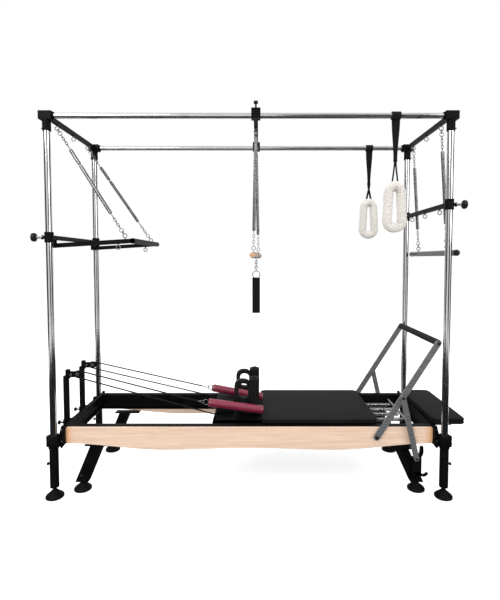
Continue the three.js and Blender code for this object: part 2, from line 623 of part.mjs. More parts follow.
// Riser at the head end: square tube in its clamp, knob, and the fork round the pulley
function riserPiece(sideName, side) {
  const y = side * riser.spread;
  const half = riser.width / 2;
  const clampHalf = half + riser.clampWall;
  const beamFace = -(bedHalf + fit + beam.depth + fit);
  const knobFace = -(place.riser + half + riserKnob.reach);
  const pieces = [
    box(-place.riser - half, -place.riser + half, y - half, y + half, riser.bottom, riser.top),
    box(-place.riser - clampHalf, beamFace, y - clampHalf, y + clampHalf, riser.clampBottom,
      riser.clampTop),
    rod(vector(-place.riser, y, riserKnob.height), vector(knobFace, y, riserKnob.height),
      riserKnob.stemRadius, 8),
    rod(vector(knobFace + overrun, y, riserKnob.height),
      vector(knobFace - riserKnob.length, y, riserKnob.height),
      riserKnob.radius, 12),
    box(-place.riser, -place.forkInner, y - fork.gap - fork.plate, y + fork.gap + fork.plate,
      level.forkBottom, level.forkTop),
    rod(vector(-place.sheave, y - fork.gap - fork.plate, sheave.z),
      vector(-place.sheave, y + fork.gap + fork.plate, sheave.z),
      sheave.axleRadius, 10),
  ];
  for (const step of [-1, 1]) {
    pieces.push(box(-place.forkInner - overrun, -place.forkOuter, y + step * fork.gap,
      y + step * (fork.gap + fork.plate),
      level.forkBottom, level.forkTop));
  }
  add(`riser_${sideName}`, joined(pieces), materials.blackSteel);
}

function pulley(sideName, side) {
  const half = sheave.width / 2;
  const groove = half - sheave.rim;
  const profile = [[sheave.bore, -half], [sheave.radius, -half], [sheave.radius, -groove],
    [sheave.grooveRadius, -sheave.flat], [sheave.grooveRadius, sheave.flat], [sheave.radius, groove],
    [sheave.radius, half], [sheave.bore, half], [sheave.bore, -half]];
  const wheelShape = new THREE.LatheGeometry(profile.map(([r, h]) => new THREE.Vector2(r, h)), 14);
  add(`pulley_${sideName}`, outward(wheelShape.translate(-place.sheave, side * riser.spread, sheave.z)),
    materials.blackPlastic);
}

// Carriage: a deck with skirts that carries the axles, and a lug for the ropes on its head side
function carriageFrame() {
  const { halfWidth, deckTop, deck, skirtBottom, skirt } = carriage;
  const head = carriageHead;
  const end = carriageFoot;
  const pieces = [box(head, end, -halfWidth, halfWidth, deckTop - deck, deckTop)];
  for (const side of [-1, 1]) {
    pieces.push(box(head, end, side * halfWidth, side * (halfWidth - skirt), skirtBottom, deckTop));
    const postX = head + rope.postInset;
    pieces.push(rod(vector(postX, side * rope.carriageSpread, deckTop - overrun),
      vector(postX, side * rope.carriageSpread, rope.postTop), grip.hookRadius, 8));
  }
  pieces.push(box(head, head + skirt, -halfWidth, halfWidth, skirtBottom, deckTop));
  pieces.push(box(end - skirt, end, -halfWidth, halfWidth, skirtBottom, deckTop));
  const axleZ = track.ledgeTop + fit + wheel.radius;
  const cuts = [place.wheelHead, place.wheelFoot].map(x => rod(vector(x, -halfWidth - overrun, axleZ),
    vector(x, halfWidth + overrun, axleZ), wheel.axleRadius + fit, 12));
  add('carriage_frame', joined(pieces, cuts), materials.blackSteel);
}

function axleSet(name, x) {
  const z = track.ledgeTop + fit + wheel.radius;
  const outer = wheel.track + wheel.width / 2 - overrun;
  const pieces = [rod(vector(x, -outer, z), vector(x, outer, z), wheel.axleRadius, 10)];
  for (const side of [-1, 1]) {
    const inside = side * (carriage.halfWidth + fit);
    pieces.push(rod(vector(x, inside, z), vector(x, side * outer, z), wheel.radius, 18));
  }
  add(name, joined(pieces), materials.blackPlastic);
}

// Upholstered slab: a grid over a rounded rectangle whose top is crowned and whose rim is rolled
function rimPoints(halfX, halfY, radius, cornerSteps, sideSteps) {
  const points = [];
  const quarters = [[1, 1], [-1, 1], [-1, -1], [1, -1]];
  quarters.forEach(([signX, signY], quarter) => {
    for (let i = 0; i <= cornerSteps; i += 1) {
      const angle = (Math.PI / 2) * (quarter + i / cornerSteps);
      points.push({ x: signX * (halfX - radius) + radius * Math.cos(angle),
        y: signY * (halfY - radius) + radius * Math.sin(angle) });
    }
    const [nextX, nextY] = quarters[(quarter + 1) % quarters.length];
    const angle = (Math.PI / 2) * (quarter + 1);
    const last = points[points.length - 1];
    const next = { x: nextX * (halfX - radius) + radius * Math.cos(angle),
      y: nextY * (halfY - radius) + radius * Math.sin(angle) };
    for (let i = 1; i < sideSteps; i += 1) {
      const share = i / sideSteps;
      points.push({ x: last.x + (next.x - last.x) * share, y: last.y + (next.y - last.y) * share });
    }
  });
  return points;
}

const rollShares = { rise: 0.6, inset: 0.9 };
function cushion(x0, x1, halfWidth, form, rings, cornerSteps, sideSteps) {
  const { bottom, top, crown, cornerRadius, edge } = form;
  const middle = (x0 + x1) / 2;
  const rim = rimPoints((x1 - x0) / 2, halfWidth, cornerRadius, cornerSteps, sideSteps);
  const around = rim.length;
  const rise = edge * rollShares.rise;
  const levels = [[1 - edge / halfWidth, bottom], [1, bottom + rise], [1, top - crown - rise],
    [1 - (edge / halfWidth) * rollShares.inset, top - crown]];
  for (let i = 1; i < rings; i += 1) {
    const share = (1 - edge / halfWidth) * (1 - i / rings);
    levels.push([share, top - crown * share * share]);
  }
  const positions = [];
  for (const [share, z] of levels) {
    for (const p of rim) positions.push(middle + p.x * share, p.y * share, z);
  }
  const last = levels.length - 1;
  const index = [];
  for (let level = 0; level < last; level += 1) {
    for (let i = 0; i < around; i += 1) {
      const a = level * around + i;
      const b = level * around + ((i + 1) % around);
      index.push(a, b, b + around, a, b + around, a + around);
    }
  }
  const low = positions.length / 3;
  positions.push(middle, 0, bottom, middle, 0, top);
  for (let i = 0; i < around; i += 1) {
    const next = (i + 1) % around;
    index.push(low, next, i);
    index.push(low + 1, last * around + i, last * around + next);
  }
  const geometry = new THREE.BufferGeometry();
  geometry.setAttribute('position', new THREE.Float32BufferAttribute(positions, 3));
  geometry.setIndex(index);
  return outward(geometry);
}

// Shoulder rest: an upright rounded column against which the shoulder bears and a looped plate behind it
function shoulderRest(sideName, side) {
  const y = side * shoulder.spread;
  const bottom = carriage.deckTop + fit;
  const { top, cornerRadius, columnRadius, crown, halfWidth, loopThickness } = shoulder;
  const outline = roundedRectangle(place.shoulderHead, place.column + columnRadius, bottom,
    top - columnRadius,
    cornerRadius);
  outline.holes.push(roundedRectangle(place.holeHead, place.holeFoot, shoulder.holeBottom, shoulder.holeTop,
    cornerRadius));
  const form = { bottom, top, crown, cornerRadius: columnRadius, edge: crown };
  const column = cushion(place.column, place.shoulderFoot, halfWidth, form, 2, 3, 1).translate(0, y, 0);
  const plate = plateXZ(outline, y - loopThickness / 2, y + loopThickness / 2, 4);
  add(`shoulder_rest_${sideName}`, joined([plate, column]), materials.blackPlastic);
}

// A tube swept through points, five-sided unless told otherwise, with flat ends
function sweep(points, radius, count = 5) {
  const tangents = points.map((p, i) => {
    const before = points[Math.max(i - 1, 0)];
    const after = points[Math.min(i + 1, points.length - 1)];
    return after.clone().sub(before).normalize();
  });
  let normal = vector(0, 0, 1).cross(tangents[0]);
  if (normal.length() < 0.1) normal = vector(1, 0, 0).cross(tangents[0]);
  normal.normalize();
  const positions = [];
  points.forEach((p, i) => {
    normal.sub(tangents[i].clone().multiplyScalar(normal.dot(tangents[i]))).normalize();
    const binormal = tangents[i].clone().cross(normal);
    for (let k = 0; k < count; k += 1) {
      const angle = (2 * Math.PI * k) / count;
      const q = p.clone().addScaledVector(normal, radius * Math.cos(angle))
        .addScaledVector(binormal, radius * Math.sin(angle));
      positions.push(q.x, q.y, q.z);
    }
  });
  const index = [];
  for (let i = 0; i < points.length - 1; i += 1) {
    for (let k = 0; k < count; k += 1) {
      const a = i * count + k;
      const b = i * count + ((k + 1) % count);
      index.push(a, b, b + count, a, b + count, a + count);
    }
  }
  const end = (points.length - 1) * count;
  for (let k = 1; k < count - 1; k += 1) index.push(0, k + 1, k, end, end + k, end + k + 1);
  const geometry = new THREE.BufferGeometry();
  geometry.setAttribute('position', new THREE.Float32BufferAttribute(positions, 3));
  geometry.setIndex(index);
  return outward(geometry);
}

// One unbroken spring wire: straight on the axis, out to the coil, round its turns and back to the axis
const curlSteps = 8;
const endShare = 3;
let leastCoilGap = Infinity;
function coil(from, to, radius, wireRadius, turns) {
  const axis = to.clone().sub(from);
  const length = axis.length();
  axis.normalize();
  const u = (Math.abs(axis.z) > 0.9 ? vector(1, 0, 0) : vector(0, 0, 1)).cross(axis).normalize();
  const v = axis.clone().cross(u);
  const straight = wireRadius * endShare;
  const points = [from.clone(), from.clone().addScaledVector(axis, straight)];
  const steps = turns * curlSteps;
  for (let i = 0; i <= steps; i += 1) {
    const angle = (2 * Math.PI * i) / curlSteps;
    const along = 2 * straight + ((length - 4 * straight) * i) / steps;
    points.push(from.clone().addScaledVector(axis, along).addScaledVector(u, radius * Math.cos(angle))
      .addScaledVector(v, radius * Math.sin(angle)));
  }
  points.push(to.clone().addScaledVector(axis, -straight), to.clone());
  for (let i = 2; i < points.length - 2 - curlSteps; i += 1) {
    for (let j = i + curlSteps - 1; j < Math.min(points.length - 2, i + curlSteps + 2); j += 1) {
      leastCoilGap = Math.min(leastCoilGap, points[i].distanceTo(points[j]) - 2 * wireRadius);
    }
  }
  return sweep(points, wireRadius);
}

// Carriage springs hooked on the spring bar at the foot end
function springPack() {
  const { z, radius } = springBar;
  const x = place.springBar;
  const reach = railInner - fit - track.wall - fit;
  const pieces = [rod(vector(x, -reach, z), vector(x, reach, z), radius, 10)];
  const start = carriageFoot + fit;
  for (let i = 0; i < bedSpring.rows; i += 1) {
    const y = (i - (bedSpring.rows - 1) / 2) * bedSpring.spacing;
    pieces.push(coil(vector(start, y, z), vector(x, y, z), bedSpring.radius, bedSpring.wireRadius,
      bedSpring.turns));
  }
  add('carriage_springs', joined(pieces), materials.springSteel);
}

// Foot bar: two flat arms with pivot bosses and the core tube that carries the foam roller
function footBarPieces() {
  const pivot = { x: place.footBarPivot, z: footBar.pivotZ };
  const angle = radians(footBar.angle);
  const top = { x: pivot.x + footBar.length * Math.cos(angle),
    z: pivot.z + footBar.length * Math.sin(angle) };
  const outer = footBar.armInner + footBar.armThickness;
  const pieces = [rod(vector(top.x, -outer, top.z), vector(top.x, outer, top.z), footBar.coreRadius, 12)];
  for (const side of [-1, 1]) {
    pieces.push(roundBar(pivot, top, footBar.armWidth, side * footBar.armInner, side * outer));
    pieces.push(rod(vector(pivot.x, side * (rail.outer + fit), pivot.z),
      vector(pivot.x, side * (footBar.armInner + overrun), pivot.z), footBar.bossRadius, 12));
  }
  add('foot_bar', joined(pieces), materials.greyMetal);
  const rollerHalf = footBar.armInner - fit;
  const roller = tube(vector(top.x, -rollerHalf, top.z), vector(top.x, rollerHalf, top.z),
    footBar.rollerRadius,
    footBar.rollerRadius - footBar.coreRadius - fit, 16);
  add('foot_roller', outward(roller), materials.foam);
  for (const [sideName, side] of Object.entries(sides)) {
    const upper = strutPivot();
    const lower = strutPin();
    const inside = side * strut.inner;
    const outside = side * (strut.inner + strut.thickness);
    add(`foot_strut_${sideName}`, joined([
      roundBar(upper, lower, strut.width, inside, outside),
      rod(vector(upper.x, side * (footBar.armInner + footBar.armThickness + fit), upper.z),
        vector(upper.x, inside + side * overrun, upper.z), strut.boltRadius, 10),
      rod(vector(upper.x, outside - side * overrun, upper.z),
        vector(upper.x, outside + side * strut.boltLength, upper.z),
        strut.boltRadius, 10),
      rod(vector(lower.x, side * (innerLeg.centre + innerLeg.thickness / 2 + hook.thickness
        + strut.pinGap), lower.z),
        vector(lower.x, inside + side * overrun, lower.z), strut.pinRadius, 10),
    ]), materials.greyMetal);
  }
}

// Sliding cross bar: a bored block on each post and a bar between them; the front block takes the pull pin
function sliderPiece(name, end, height, ringPlaces) {
  const x = end * halfLength;
  const half = tower.width / 2;
  const pieces = [box(x - block.bar / 2, x + block.bar / 2, -half, half, height - block.bar / 2,
    height + block.bar / 2)];
  const cuts = [];
  for (const side of [-1, 1]) {
    const y = side * half;
    pieces.push(rod(vector(x, y, height - block.height / 2), vector(x, y, height + block.height / 2),
      block.radius,
      post.sides));
    cuts.push(rod(vector(x, y, height - block.height), vector(x, y, height + block.height),
      post.diameter / 2 + fit,
      post.sides));
  }
  const collarEnd = x + end * pullPin.collarReach;
  pieces.push(rod(vector(x + end * (post.diameter / 2 + pullPin.clearance), -half, height),
    vector(collarEnd, -half, height),
    pullPin.collarRadius, 12));
  cuts.push(rod(vector(x, -half, height), vector(collarEnd + end * overrun, -half, height),
    pullPin.rodRadius + fit, 12));
  for (const y of ringPlaces) pieces.push(...eyeBelow(x, y, height - block.bar / 2, vector(0, 1, 0)));
  return { pieces, cuts, x, collarEnd, save: () => add(name, joined(pieces, cuts), materials.blackSteel) };
}

function pullPinPiece(name, end, height) {
  const x = end * halfLength;
  const y = -tower.width / 2;
  const at = reach => vector(x + end * reach, y, height);
  const start = post.diameter / 2 + pullPin.clearance;
  const discStart = pullPin.collarReach + pullPin.clearance;
  add(name, joined([
    rod(at(start), at(pullPin.reach - overrun), pullPin.rodRadius, 10),
    rod(at(discStart), at(discStart + pullPin.discLength), pullPin.discRadius, 12),
    rod(at(pullPin.reach - pullPin.knobLength), at(pullPin.reach), pullPin.knobRadius, 16),
  ]), materials.blackPlastic);
}

// Push-through bar: two arms pivoted below the slider, the cross handle and an eye on each arm
const pushPivot = { x: -halfLength, z: level.pushSlider - pushBar.pivotDrop };
const pushEnd = { x: pushPivot.x + pushBar.length * Math.cos(radians(pushBar.angle)),
  z: pushPivot.z + pushBar.length * Math.sin(radians(pushBar.angle)) };
const armZ = back => pushEnd.z - back * Math.sin(radians(pushBar.angle));
const pushEye = { x: pushEnd.x - pushBar.eyeInset,
  z: armZ(pushBar.eyeInset) + pushBar.armWidth / 2 + eyeCentreDrop };

function pushSliderPieces() {
  const slider = sliderPiece('push_slider', -1, level.pushSlider, []);
  const inner = pushBar.spread - pushBar.armThickness / 2 - fit;
  const head = pushBar.spread + pushBar.armThickness / 2 + fit;
  for (const side of [-1, 1]) {
    slider.pieces.push(box(pushPivot.x - block.bar / 2, pushPivot.x + block.bar / 2, side * inner,
      side * (inner - pushBar.armThickness), pushPivot.z - block.bar / 2, level.pushSlider));
    slider.pieces.push(rod(vector(pushPivot.x, side * (inner - pushBar.armThickness / 2), pushPivot.z),
      vector(pushPivot.x, side * (head + pushBar.headLength), pushPivot.z), pushBar.boltRadius, 10));
    slider.pieces.push(rod(vector(pushPivot.x, side * head, pushPivot.z),
      vector(pushPivot.x, side * (head + pushBar.headLength), pushPivot.z), pushBar.headRadius, 10));
  }
  slider.save();
  pullPinPiece('push_pull_pin', -1, level.pushSlider);
  const pieces = [rod(vector(pushEnd.x, -pushBar.spread, pushEnd.z),
    vector(pushEnd.x, pushBar.spread, pushEnd.z),
    pushBar.handleRadius, 12)];
  const cuts = [];
  for (const side of [-1, 1]) {
    const y0 = side * (pushBar.spread - pushBar.armThickness / 2);
    const y1 = side * (pushBar.spread + pushBar.armThickness / 2);
    pieces.push(roundBar(pushPivot, pushEnd, pushBar.armWidth, y0, y1));
    cuts.push(rod(vector(pushPivot.x, y0 - side * overrun, pushPivot.z),
      vector(pushPivot.x, y1 + side * overrun,
      pushPivot.z), pushBar.boltRadius + fit, 10));
    const y = side * pushBar.spread;
    pieces.push(rod(vector(pushEye.x, y, armZ(pushBar.eyeInset)),
      vector(pushEye.x, y, pushEye.z - eye.ringRadius),
      eye.shank / 2, 8));
    const lowX = pushEnd.x - pushBar.lowEyeInset;
    pieces.push(...eyeBelow(lowX, y, armZ(pushBar.lowEyeInset) - pushBar.armWidth / 2, vector(0, 1, 0)));
    pieces.push(ring(vector(pushEye.x, side * pushBar.spread, pushEye.z), vector(0, 1, 0), eye.ringRadius,
      eye.wireRadius));
  }
  add('push_bar', joined(pieces, cuts), materials.blackSteel);
}

// A long spring between two eyes: a link in each eye, a ring, a shank to the coil, all in one body.
// At its lower end it can instead hold a bar in a ring of its own.
const hang = {
  push: { top: 145, bottom: 149 },
  roll: { top: 127, bottom: 128 },
  trapeze: { top: 26, bottom: 139 },
};
function longSpringPiece(name, top, bottom, length, barRing = null) {
  const s = longSpring;
  const down = bottom.clone().sub(top).normalize();
  const across = down.clone().cross(vector(0, 1, 0)).normalize();
  const seat = eye.ringRadius - eye.wireRadius - s.linkWire - fit;
  const pieces = [];
  const hanger = (from, direction, reach, start) => {
    const at = distance => from.clone().addScaledVector(direction, distance);
    const linkCentre = start + s.linkRadius;
    pieces.push(ring(at(linkCentre), across, s.linkRadius, s.linkWire, 8, 3));
    let used = linkCentre + s.linkRadius;
    const ringLength = 2 * s.ringRadius - s.linkWire;
    if (reach - used > ringLength) {
      const centre = at(used + s.ringRadius - s.linkWire);
      pieces.push(ring(centre, vector(0, 1, 0), s.ringRadius, s.linkWire, 8, 3));
      used += ringLength;
    }
    if (reach - used > s.hookLead) pieces.push(rod(at(used - overrun), at(reach), s.hookRadius, 6));
    return at(Math.max(reach - overrun, used - s.linkWire));
  };
  const start = hanger(top, down, length.top, seat);
  const up = down.clone().negate();
  if (barRing) pieces.push(ring(bottom, barDirection, barRing, s.linkWire, 12, 3));
  const end = hanger(bottom, up, length.bottom, barRing ?? seat);
  pieces.push(coil(start, end, s.radius, s.wireRadius, s.turns));
  add(name, joined(pieces), materials.springSteel);
}

// A closed profile of radius and distance spun round the line from one point to another
function spun(profile, from, to, count) {
  const points = profile.map(([r, h]) => new THREE.Vector2(r, h));
  const turn = new THREE.Quaternion().setFromUnitVectors(vector(0, 1, 0), to.clone().sub(from).normalize());
  return new THREE.LatheGeometry(points, count).applyQuaternion(turn).translate(from.x, from.y, from.z);
}

// Roll-down bar: a tube with end caps and a ring above it at each spring
function rollSliderPieces() {
  sliderPiece('roll_slider', 1, level.rollSlider, [-eye.spread, 0, eye.spread]).save();
  pullPinPiece('roll_pull_pin', 1, level.rollSlider);
  const { halfSpan, radius, capLength, capRadius } = rollBar;
  const x = place.rollBar;
  const z = level.rollBar;
  const length = 2 * halfSpan;
  const profile = [[0, 0], [capRadius, 0], [capRadius, capLength], [radius, capLength],
    [radius, length - capLength], [capRadius, length - capLength], [capRadius, length], [0, length]];
  const pieces = [spun(profile, vector(x, -halfSpan, z), vector(x, halfSpan, z), 14)];
  for (const side of [-1, 1]) {
    const y = side * eye.spread;
    pieces.push(rod(vector(x, y, z), vector(x, y, level.rollEye - eye.ringRadius), eye.shank / 2, 8));
    pieces.push(ring(vector(x, y, level.rollEye), vector(0, 1, 0), eye.ringRadius, eye.wireRadius));
  }
  add('roll_bar', joined(pieces), materials.greyMetal);
}

// Trapeze slider: a bored saddle on each top tube, the bar between them, a clamp knob and two eyes
function trapezeSlider() {
  const { x } = trapeze;
  const pieces = [box(x - crossBar.width / 2, x + crossBar.width / 2, -tower.width / 2, tower.width / 2,
    level.saddleBottom, level.saddleBottom + crossBar.height)];
  const cuts = [];
  for (const side of [-1, 1]) {
    const y = side * tower.width / 2;
    const outer = topTube.diameter / 2 + saddle.wall;
    pieces.push(box(x - saddle.length / 2, x + saddle.length / 2, y - outer, y + outer, level.saddleBottom,
      level.saddleTop));
    cuts.push(rod(vector(x - saddle.length, y, tower.height), vector(x + saddle.length, y, tower.height),
      topTube.diameter / 2 + fit, post.sides));
    pieces.push(...eyeBelow(x, side * trapeze.spread, level.saddleBottom, vector(0, 1, 0)));
  }
  const knobY = -tower.width / 2;
  const knobZ = level.saddleTop + saddle.knobReach;
  pieces.push(rod(vector(x, knobY, level.saddleTop - overrun), vector(x, knobY, knobZ),
    riserKnob.stemRadius, 8));
  pieces.push(rod(vector(x - saddle.knobWidth / 2, knobY, knobZ),
    vector(x + saddle.knobWidth / 2, knobY, knobZ),
    saddle.knobRadius, 12));
  add('trapeze_slider', joined(pieces, cuts), materials.blackSteel);
}

// Trapeze bar: a timber dowel turned a little about the upright
const barDirection = vector(Math.sin(radians(trapeze.yaw)), Math.cos(radians(trapeze.yaw)), 0);
const onBar = distance => vector(trapeze.x, 0, level.bar).addScaledVector(barDirection, distance);

function trapezeBar() {
  const { radius, halfSpan, edge } = trapeze;
  const length = 2 * halfSpan;
  const profile = [[0, 0], [radius - edge, 0], [radius, edge], [radius, length - edge],
    [radius - edge, length],
    [0, length]];
  add('trapeze_bar', joined([spun(profile, onBar(-halfSpan), onBar(halfSpan), 16)]), materials.timber);
}

// Strap under the bar: a band round the dowel, a short chain, a ring and a long webbing loop
function trapezeStrap() {
  const bandRadius = trapeze.radius + fit + strapRing.wireRadius;
  const pieces = [ring(onBar(0), barDirection, bandRadius, strapRing.wireRadius, 12, 3)];
  const first = level.bar - bandRadius - strapRing.linkRadius;
  for (let i = 0; i < strapRing.links; i += 1) {
    const normal = i % 2 === 0 ? vector(1, 0, 0) : vector(0, 1, 0);
    pieces.push(ring(vector(trapeze.x, 0, first - i * strapRing.linkPitch), normal, strapRing.linkRadius,
      strapRing.wireRadius, 8, 3));
  }
  pieces.push(ring(vector(trapeze.x, 0, level.strapRing), vector(0, 1, 0), strapRing.radius,
    strapRing.wireRadius, 12, 4));
  const half = strap.gap / 2 + strap.thickness;
  const outline = roundedRectangle(-half, half, level.strapBottom, level.strapTop, half - fit);
  outline.holes.push(roundedRectangle(-strap.gap / 2, strap.gap / 2, level.strapBottom + strap.thickness,
    level.strapTop - strap.thickness, strap.gap / 2 - fit));
  pieces.push(barYZ(outline, trapeze.x - strap.width / 2, trapeze.x + strap.width / 2, 2));
  add('trapeze_strap', joined(pieces), materials.webbing);
}

// A closed padded band round a stadium path in the X and Z plane
function paddedLoop(x, y, halfWidth, low, high, acrossRadius, depthRadius) {
  const pathSteps = 6;
  const around = 8;
  const spine = [];
  for (let i = 0; i <= pathSteps; i += 1) {
    const angle = Math.PI * i / pathSteps;
    spine.push({ x: halfWidth * Math.cos(angle), z: high + halfWidth * Math.sin(angle), angle });
  }
  for (let i = 0; i <= pathSteps; i += 1) {
    const angle = Math.PI + Math.PI * i / pathSteps;
    spine.push({ x: halfWidth * Math.cos(angle), z: low + halfWidth * Math.sin(angle), angle });
  }
  const positions = [];
  for (const point of spine) {
    for (let k = 0; k < around; k += 1) {
      const turn = 2 * Math.PI * k / around;
      const out = acrossRadius * Math.cos(turn);
      positions.push(x + point.x + out * Math.cos(point.angle), y + depthRadius * Math.sin(turn),
        point.z + out * Math.sin(point.angle));
    }
  }
  const index = [];
  for (let i = 0; i < spine.length; i += 1) {
    const next = (i + 1) % spine.length;
    for (let k = 0; k < around; k += 1) {
      const a = i * around + k;
      const b = i * around + (k + 1) % around;
      const c = next * around + k;
      const d = next * around + (k + 1) % around;
      index.push(a, b, d, a, d, c);
    }
  }
  const geometry = new THREE.BufferGeometry();
  geometry.setAttribute('position', new THREE.Float32BufferAttribute(positions, 3));
  geometry.setIndex(index);
  return geometry;
}

// Fleece loop: webbing hitched round the top tube, tapering and splitting into two tails above the fleece
function fleeceLoop(sideName, x, y) {
  const { thickness: depth, tube: across, strapWidth, strapNeck, strapThickness, hitch } = loop;
  const bore = topTube.diameter / 2 / Math.cos(Math.PI / post.sides) + fit;
  const path = loop.halfWidth - across;
  const high = level.loopTop - across - path;
  const pieces = [
    rod(vector(x - strapWidth / 2, y, tower.height), vector(x + strapWidth / 2, y, tower.height),
      bore + hitch, 12),
    barXZ([[x - strapWidth / 2, tower.height - bore], [x + strapWidth / 2, tower.height - bore],
      [x + strapNeck / 2, level.loopNeck], [x - strapNeck / 2, level.loopNeck]], y - strapThickness,
      y + strapThickness),
    paddedLoop(x, y, path, level.loopBottom + across + path, high, across, depth / 2),
  ];
  for (const step of [-1, 1]) {
    const inner = x + step * overrun;
    pieces.push(barXZ([[inner, level.loopNeck + loop.neckOverlap],
      [x + step * strapNeck / 2, level.loopNeck + loop.neckOverlap],
      [x + step * (loop.tailReach + loop.tailWidth / 2), level.loopTop - across],
      [x + step * (loop.tailReach - loop.tailWidth / 2),
        level.loopTop - across]], y - strapThickness, y + strapThickness));
  }
  const boreEnd = vector(x + strapWidth, y, tower.height);
  const cuts = [rod(vector(x - strapWidth, y, tower.height), boreEnd, bore, 12)];
  add(`loop_${sideName}`, joined(pieces, cuts), materials.fleece);
}

// Handle: a padded grip with a ring and a snap hook at its head end
function handle(sideName, headPoint, footPoint) {
  const along = headPoint.clone().sub(footPoint).normalize();
  const length = headPoint.distanceTo(footPoint);
  const { radius, edge, sides: count, ringRadius, ringWire, hookLength, hookRadius } = grip;
  const ringCentre = headPoint.clone().addScaledVector(along, ringRadius - ringWire / 2);
  const hookStart = ringCentre.clone().addScaledVector(along, ringRadius - ringWire / 2);
  const hookEnd = hookStart.clone().addScaledVector(along, hookLength);
  add(`handle_${sideName}`, joined([
    spun([[0, 0], [radius - edge, 0], [radius, edge], [radius, length - edge], [radius - edge, length],
      [0, length]],
      footPoint, headPoint, count),
    ring(ringCentre, vector(0, 1, 0), ringRadius, ringWire),
    rod(hookStart, hookEnd, hookRadius, 8),
  ]), materials.redGrip);
  return { hookEnd, along };
}

// Rope: from the snap hook over the pulley and back under it to the post on the carriage
function ropePiece(sideName, side, hookEnd, along) {
  const radius = sheave.grooveRadius + rope.diameter / 2 + fit;
  const y = side * riser.spread;
  const ropeEnd = hookEnd.clone().addScaledVector(along, fit);
  const start = ropeEnd.clone().addScaledVector(along, rope.endRun);
  const postFace = vector(carriageHead + rope.postInset - grip.hookRadius - fit,
    side * rope.carriageSpread, rope.postZ);
  const finish = postFace.clone().setX(postFace.x - rope.endRun);
  const slope = (point, lift) => {
    const dx = point.x + place.sheave;
    const dz = point.z - sheave.z;
    const distance = Math.hypot(dx, dz);
    return Math.atan2(dz, dx) + lift * Math.acos(radius / distance);
  };
  const topAngle = slope(start, 1);
  const bottomAngle = slope(finish, -1) + 2 * Math.PI;
  const onSheave = angle => vector(-place.sheave + radius * Math.cos(angle), y,
    sheave.z + radius * Math.sin(angle));
  const points = [ropeEnd, start];
  const run = (a, b, shares) => shares.forEach(share => points.push(a.clone().lerp(b, share)));
  const top = onSheave(topAngle);
  const bottom = onSheave(bottomAngle);
  const leave = (point, target) => {
    const away = target.clone().sub(point).setY(0).normalize();
    return point.clone().addScaledVector(away, rope.lead);
  };
  run(start, leave(top, start), rope.runShares);
  for (let i = 0; i <= rope.wrapSteps; i += 1) {
    points.push(onSheave(topAngle + (bottomAngle - topAngle) * i / rope.wrapSteps));
  }
  points.push(leave(bottom, finish));
  run(leave(bottom, finish), finish, rope.runShares);
  points.push(postFace);
  add(`rope_${sideName}`, sweep(points, rope.diameter / 2, rope.sides), materials.webbing);
  const length = points.slice(1).reduce((total, p, i) => total + p.distanceTo(points[i]), 0);
  console.log(`rope ${sideName}: ${length.toFixed(1)} mm`);
}

const rig = {
  headEye: side => vector(-halfLength, side * eye.spread, eyeLevel),
  footEye: side => vector(halfLength, side * eye.spread, eyeLevel),
  trapezeEye: side => vector(trapeze.x, side * trapeze.spread, level.saddleBottom - eyeCentreDrop),
};

carriageFrame();
axleSet('wheel_axle_head', place.wheelHead);
axleSet('wheel_axle_foot', place.wheelFoot);
add('carriage_pad', joined([cushion(place.padHead, place.padFoot, pad.halfWidth, pad, 3, 3, 4)]),
  materials.upholstery);
add('headrest', joined([cushion(place.headrestHead, place.headrestFoot, headrest.halfWidth, headrest, 3, 3,
  2)]),
  materials.upholstery);
springPack();
footBarPieces();
pushSliderPieces();
rollSliderPieces();
trapezeSlider();
trapezeBar();
trapezeStrap();
const handles = {
  front: handle('front', vector(place.gripHead, -grip.frontY, grip.frontZ),
    vector(place.gripFoot, -grip.frontY, grip.restZ)),
  back: handle('back', vector(place.gripHead, grip.backY, grip.backZ),
    vector(place.gripFoot, grip.backY, grip.restZ)),
};
for (const [sideName, side] of Object.entries(sides)) {
  riserPiece(sideName, side);
  pulley(sideName, side);
  shoulderRest(sideName, side);
  longSpringPiece(`push_spring_${sideName}`, rig.headEye(side),
    vector(pushEye.x, side * pushBar.spread, pushEye.z),
    hang.push);
  longSpringPiece(`roll_spring_${sideName}`, rig.footEye(side),
    vector(place.rollBar, side * eye.spread, level.rollEye),
    hang.roll);
  longSpringPiece(`trapeze_spring_${sideName}`, rig.trapezeEye(side), onBar(side * trapeze.spread),
    hang.trapeze,
    trapeze.radius + fit + longSpring.linkWire);
  fleeceLoop(sideName, side < 0 ? place.loopFront : place.loopBack, side * tower.width / 2);
  ropePiece(sideName, side, handles[sideName].hookEnd, handles[sideName].along);
}
console.log(`least gap between two turns of a spring: ${leastCoilGap.toFixed(2)} mm`);

// The length runs from the outer end of the pull pin to the edge of the standing platform
const lengthLow = -(halfLength + pullPin.reach);
model.position.x = -(lengthLow + place.platformOuter) / 2;
export default model;
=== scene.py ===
"""Dresses a pilates tower unit: tube tower, timber bed, carriage, bars, springs, loops and ropes.

Shapes are worked out in millimetres on a drawing whose X runs along the bed to the foot end. They are laid
down in metres in the shared frame, whose origin lies 20 mm further along the drawing's X.
"""

import math

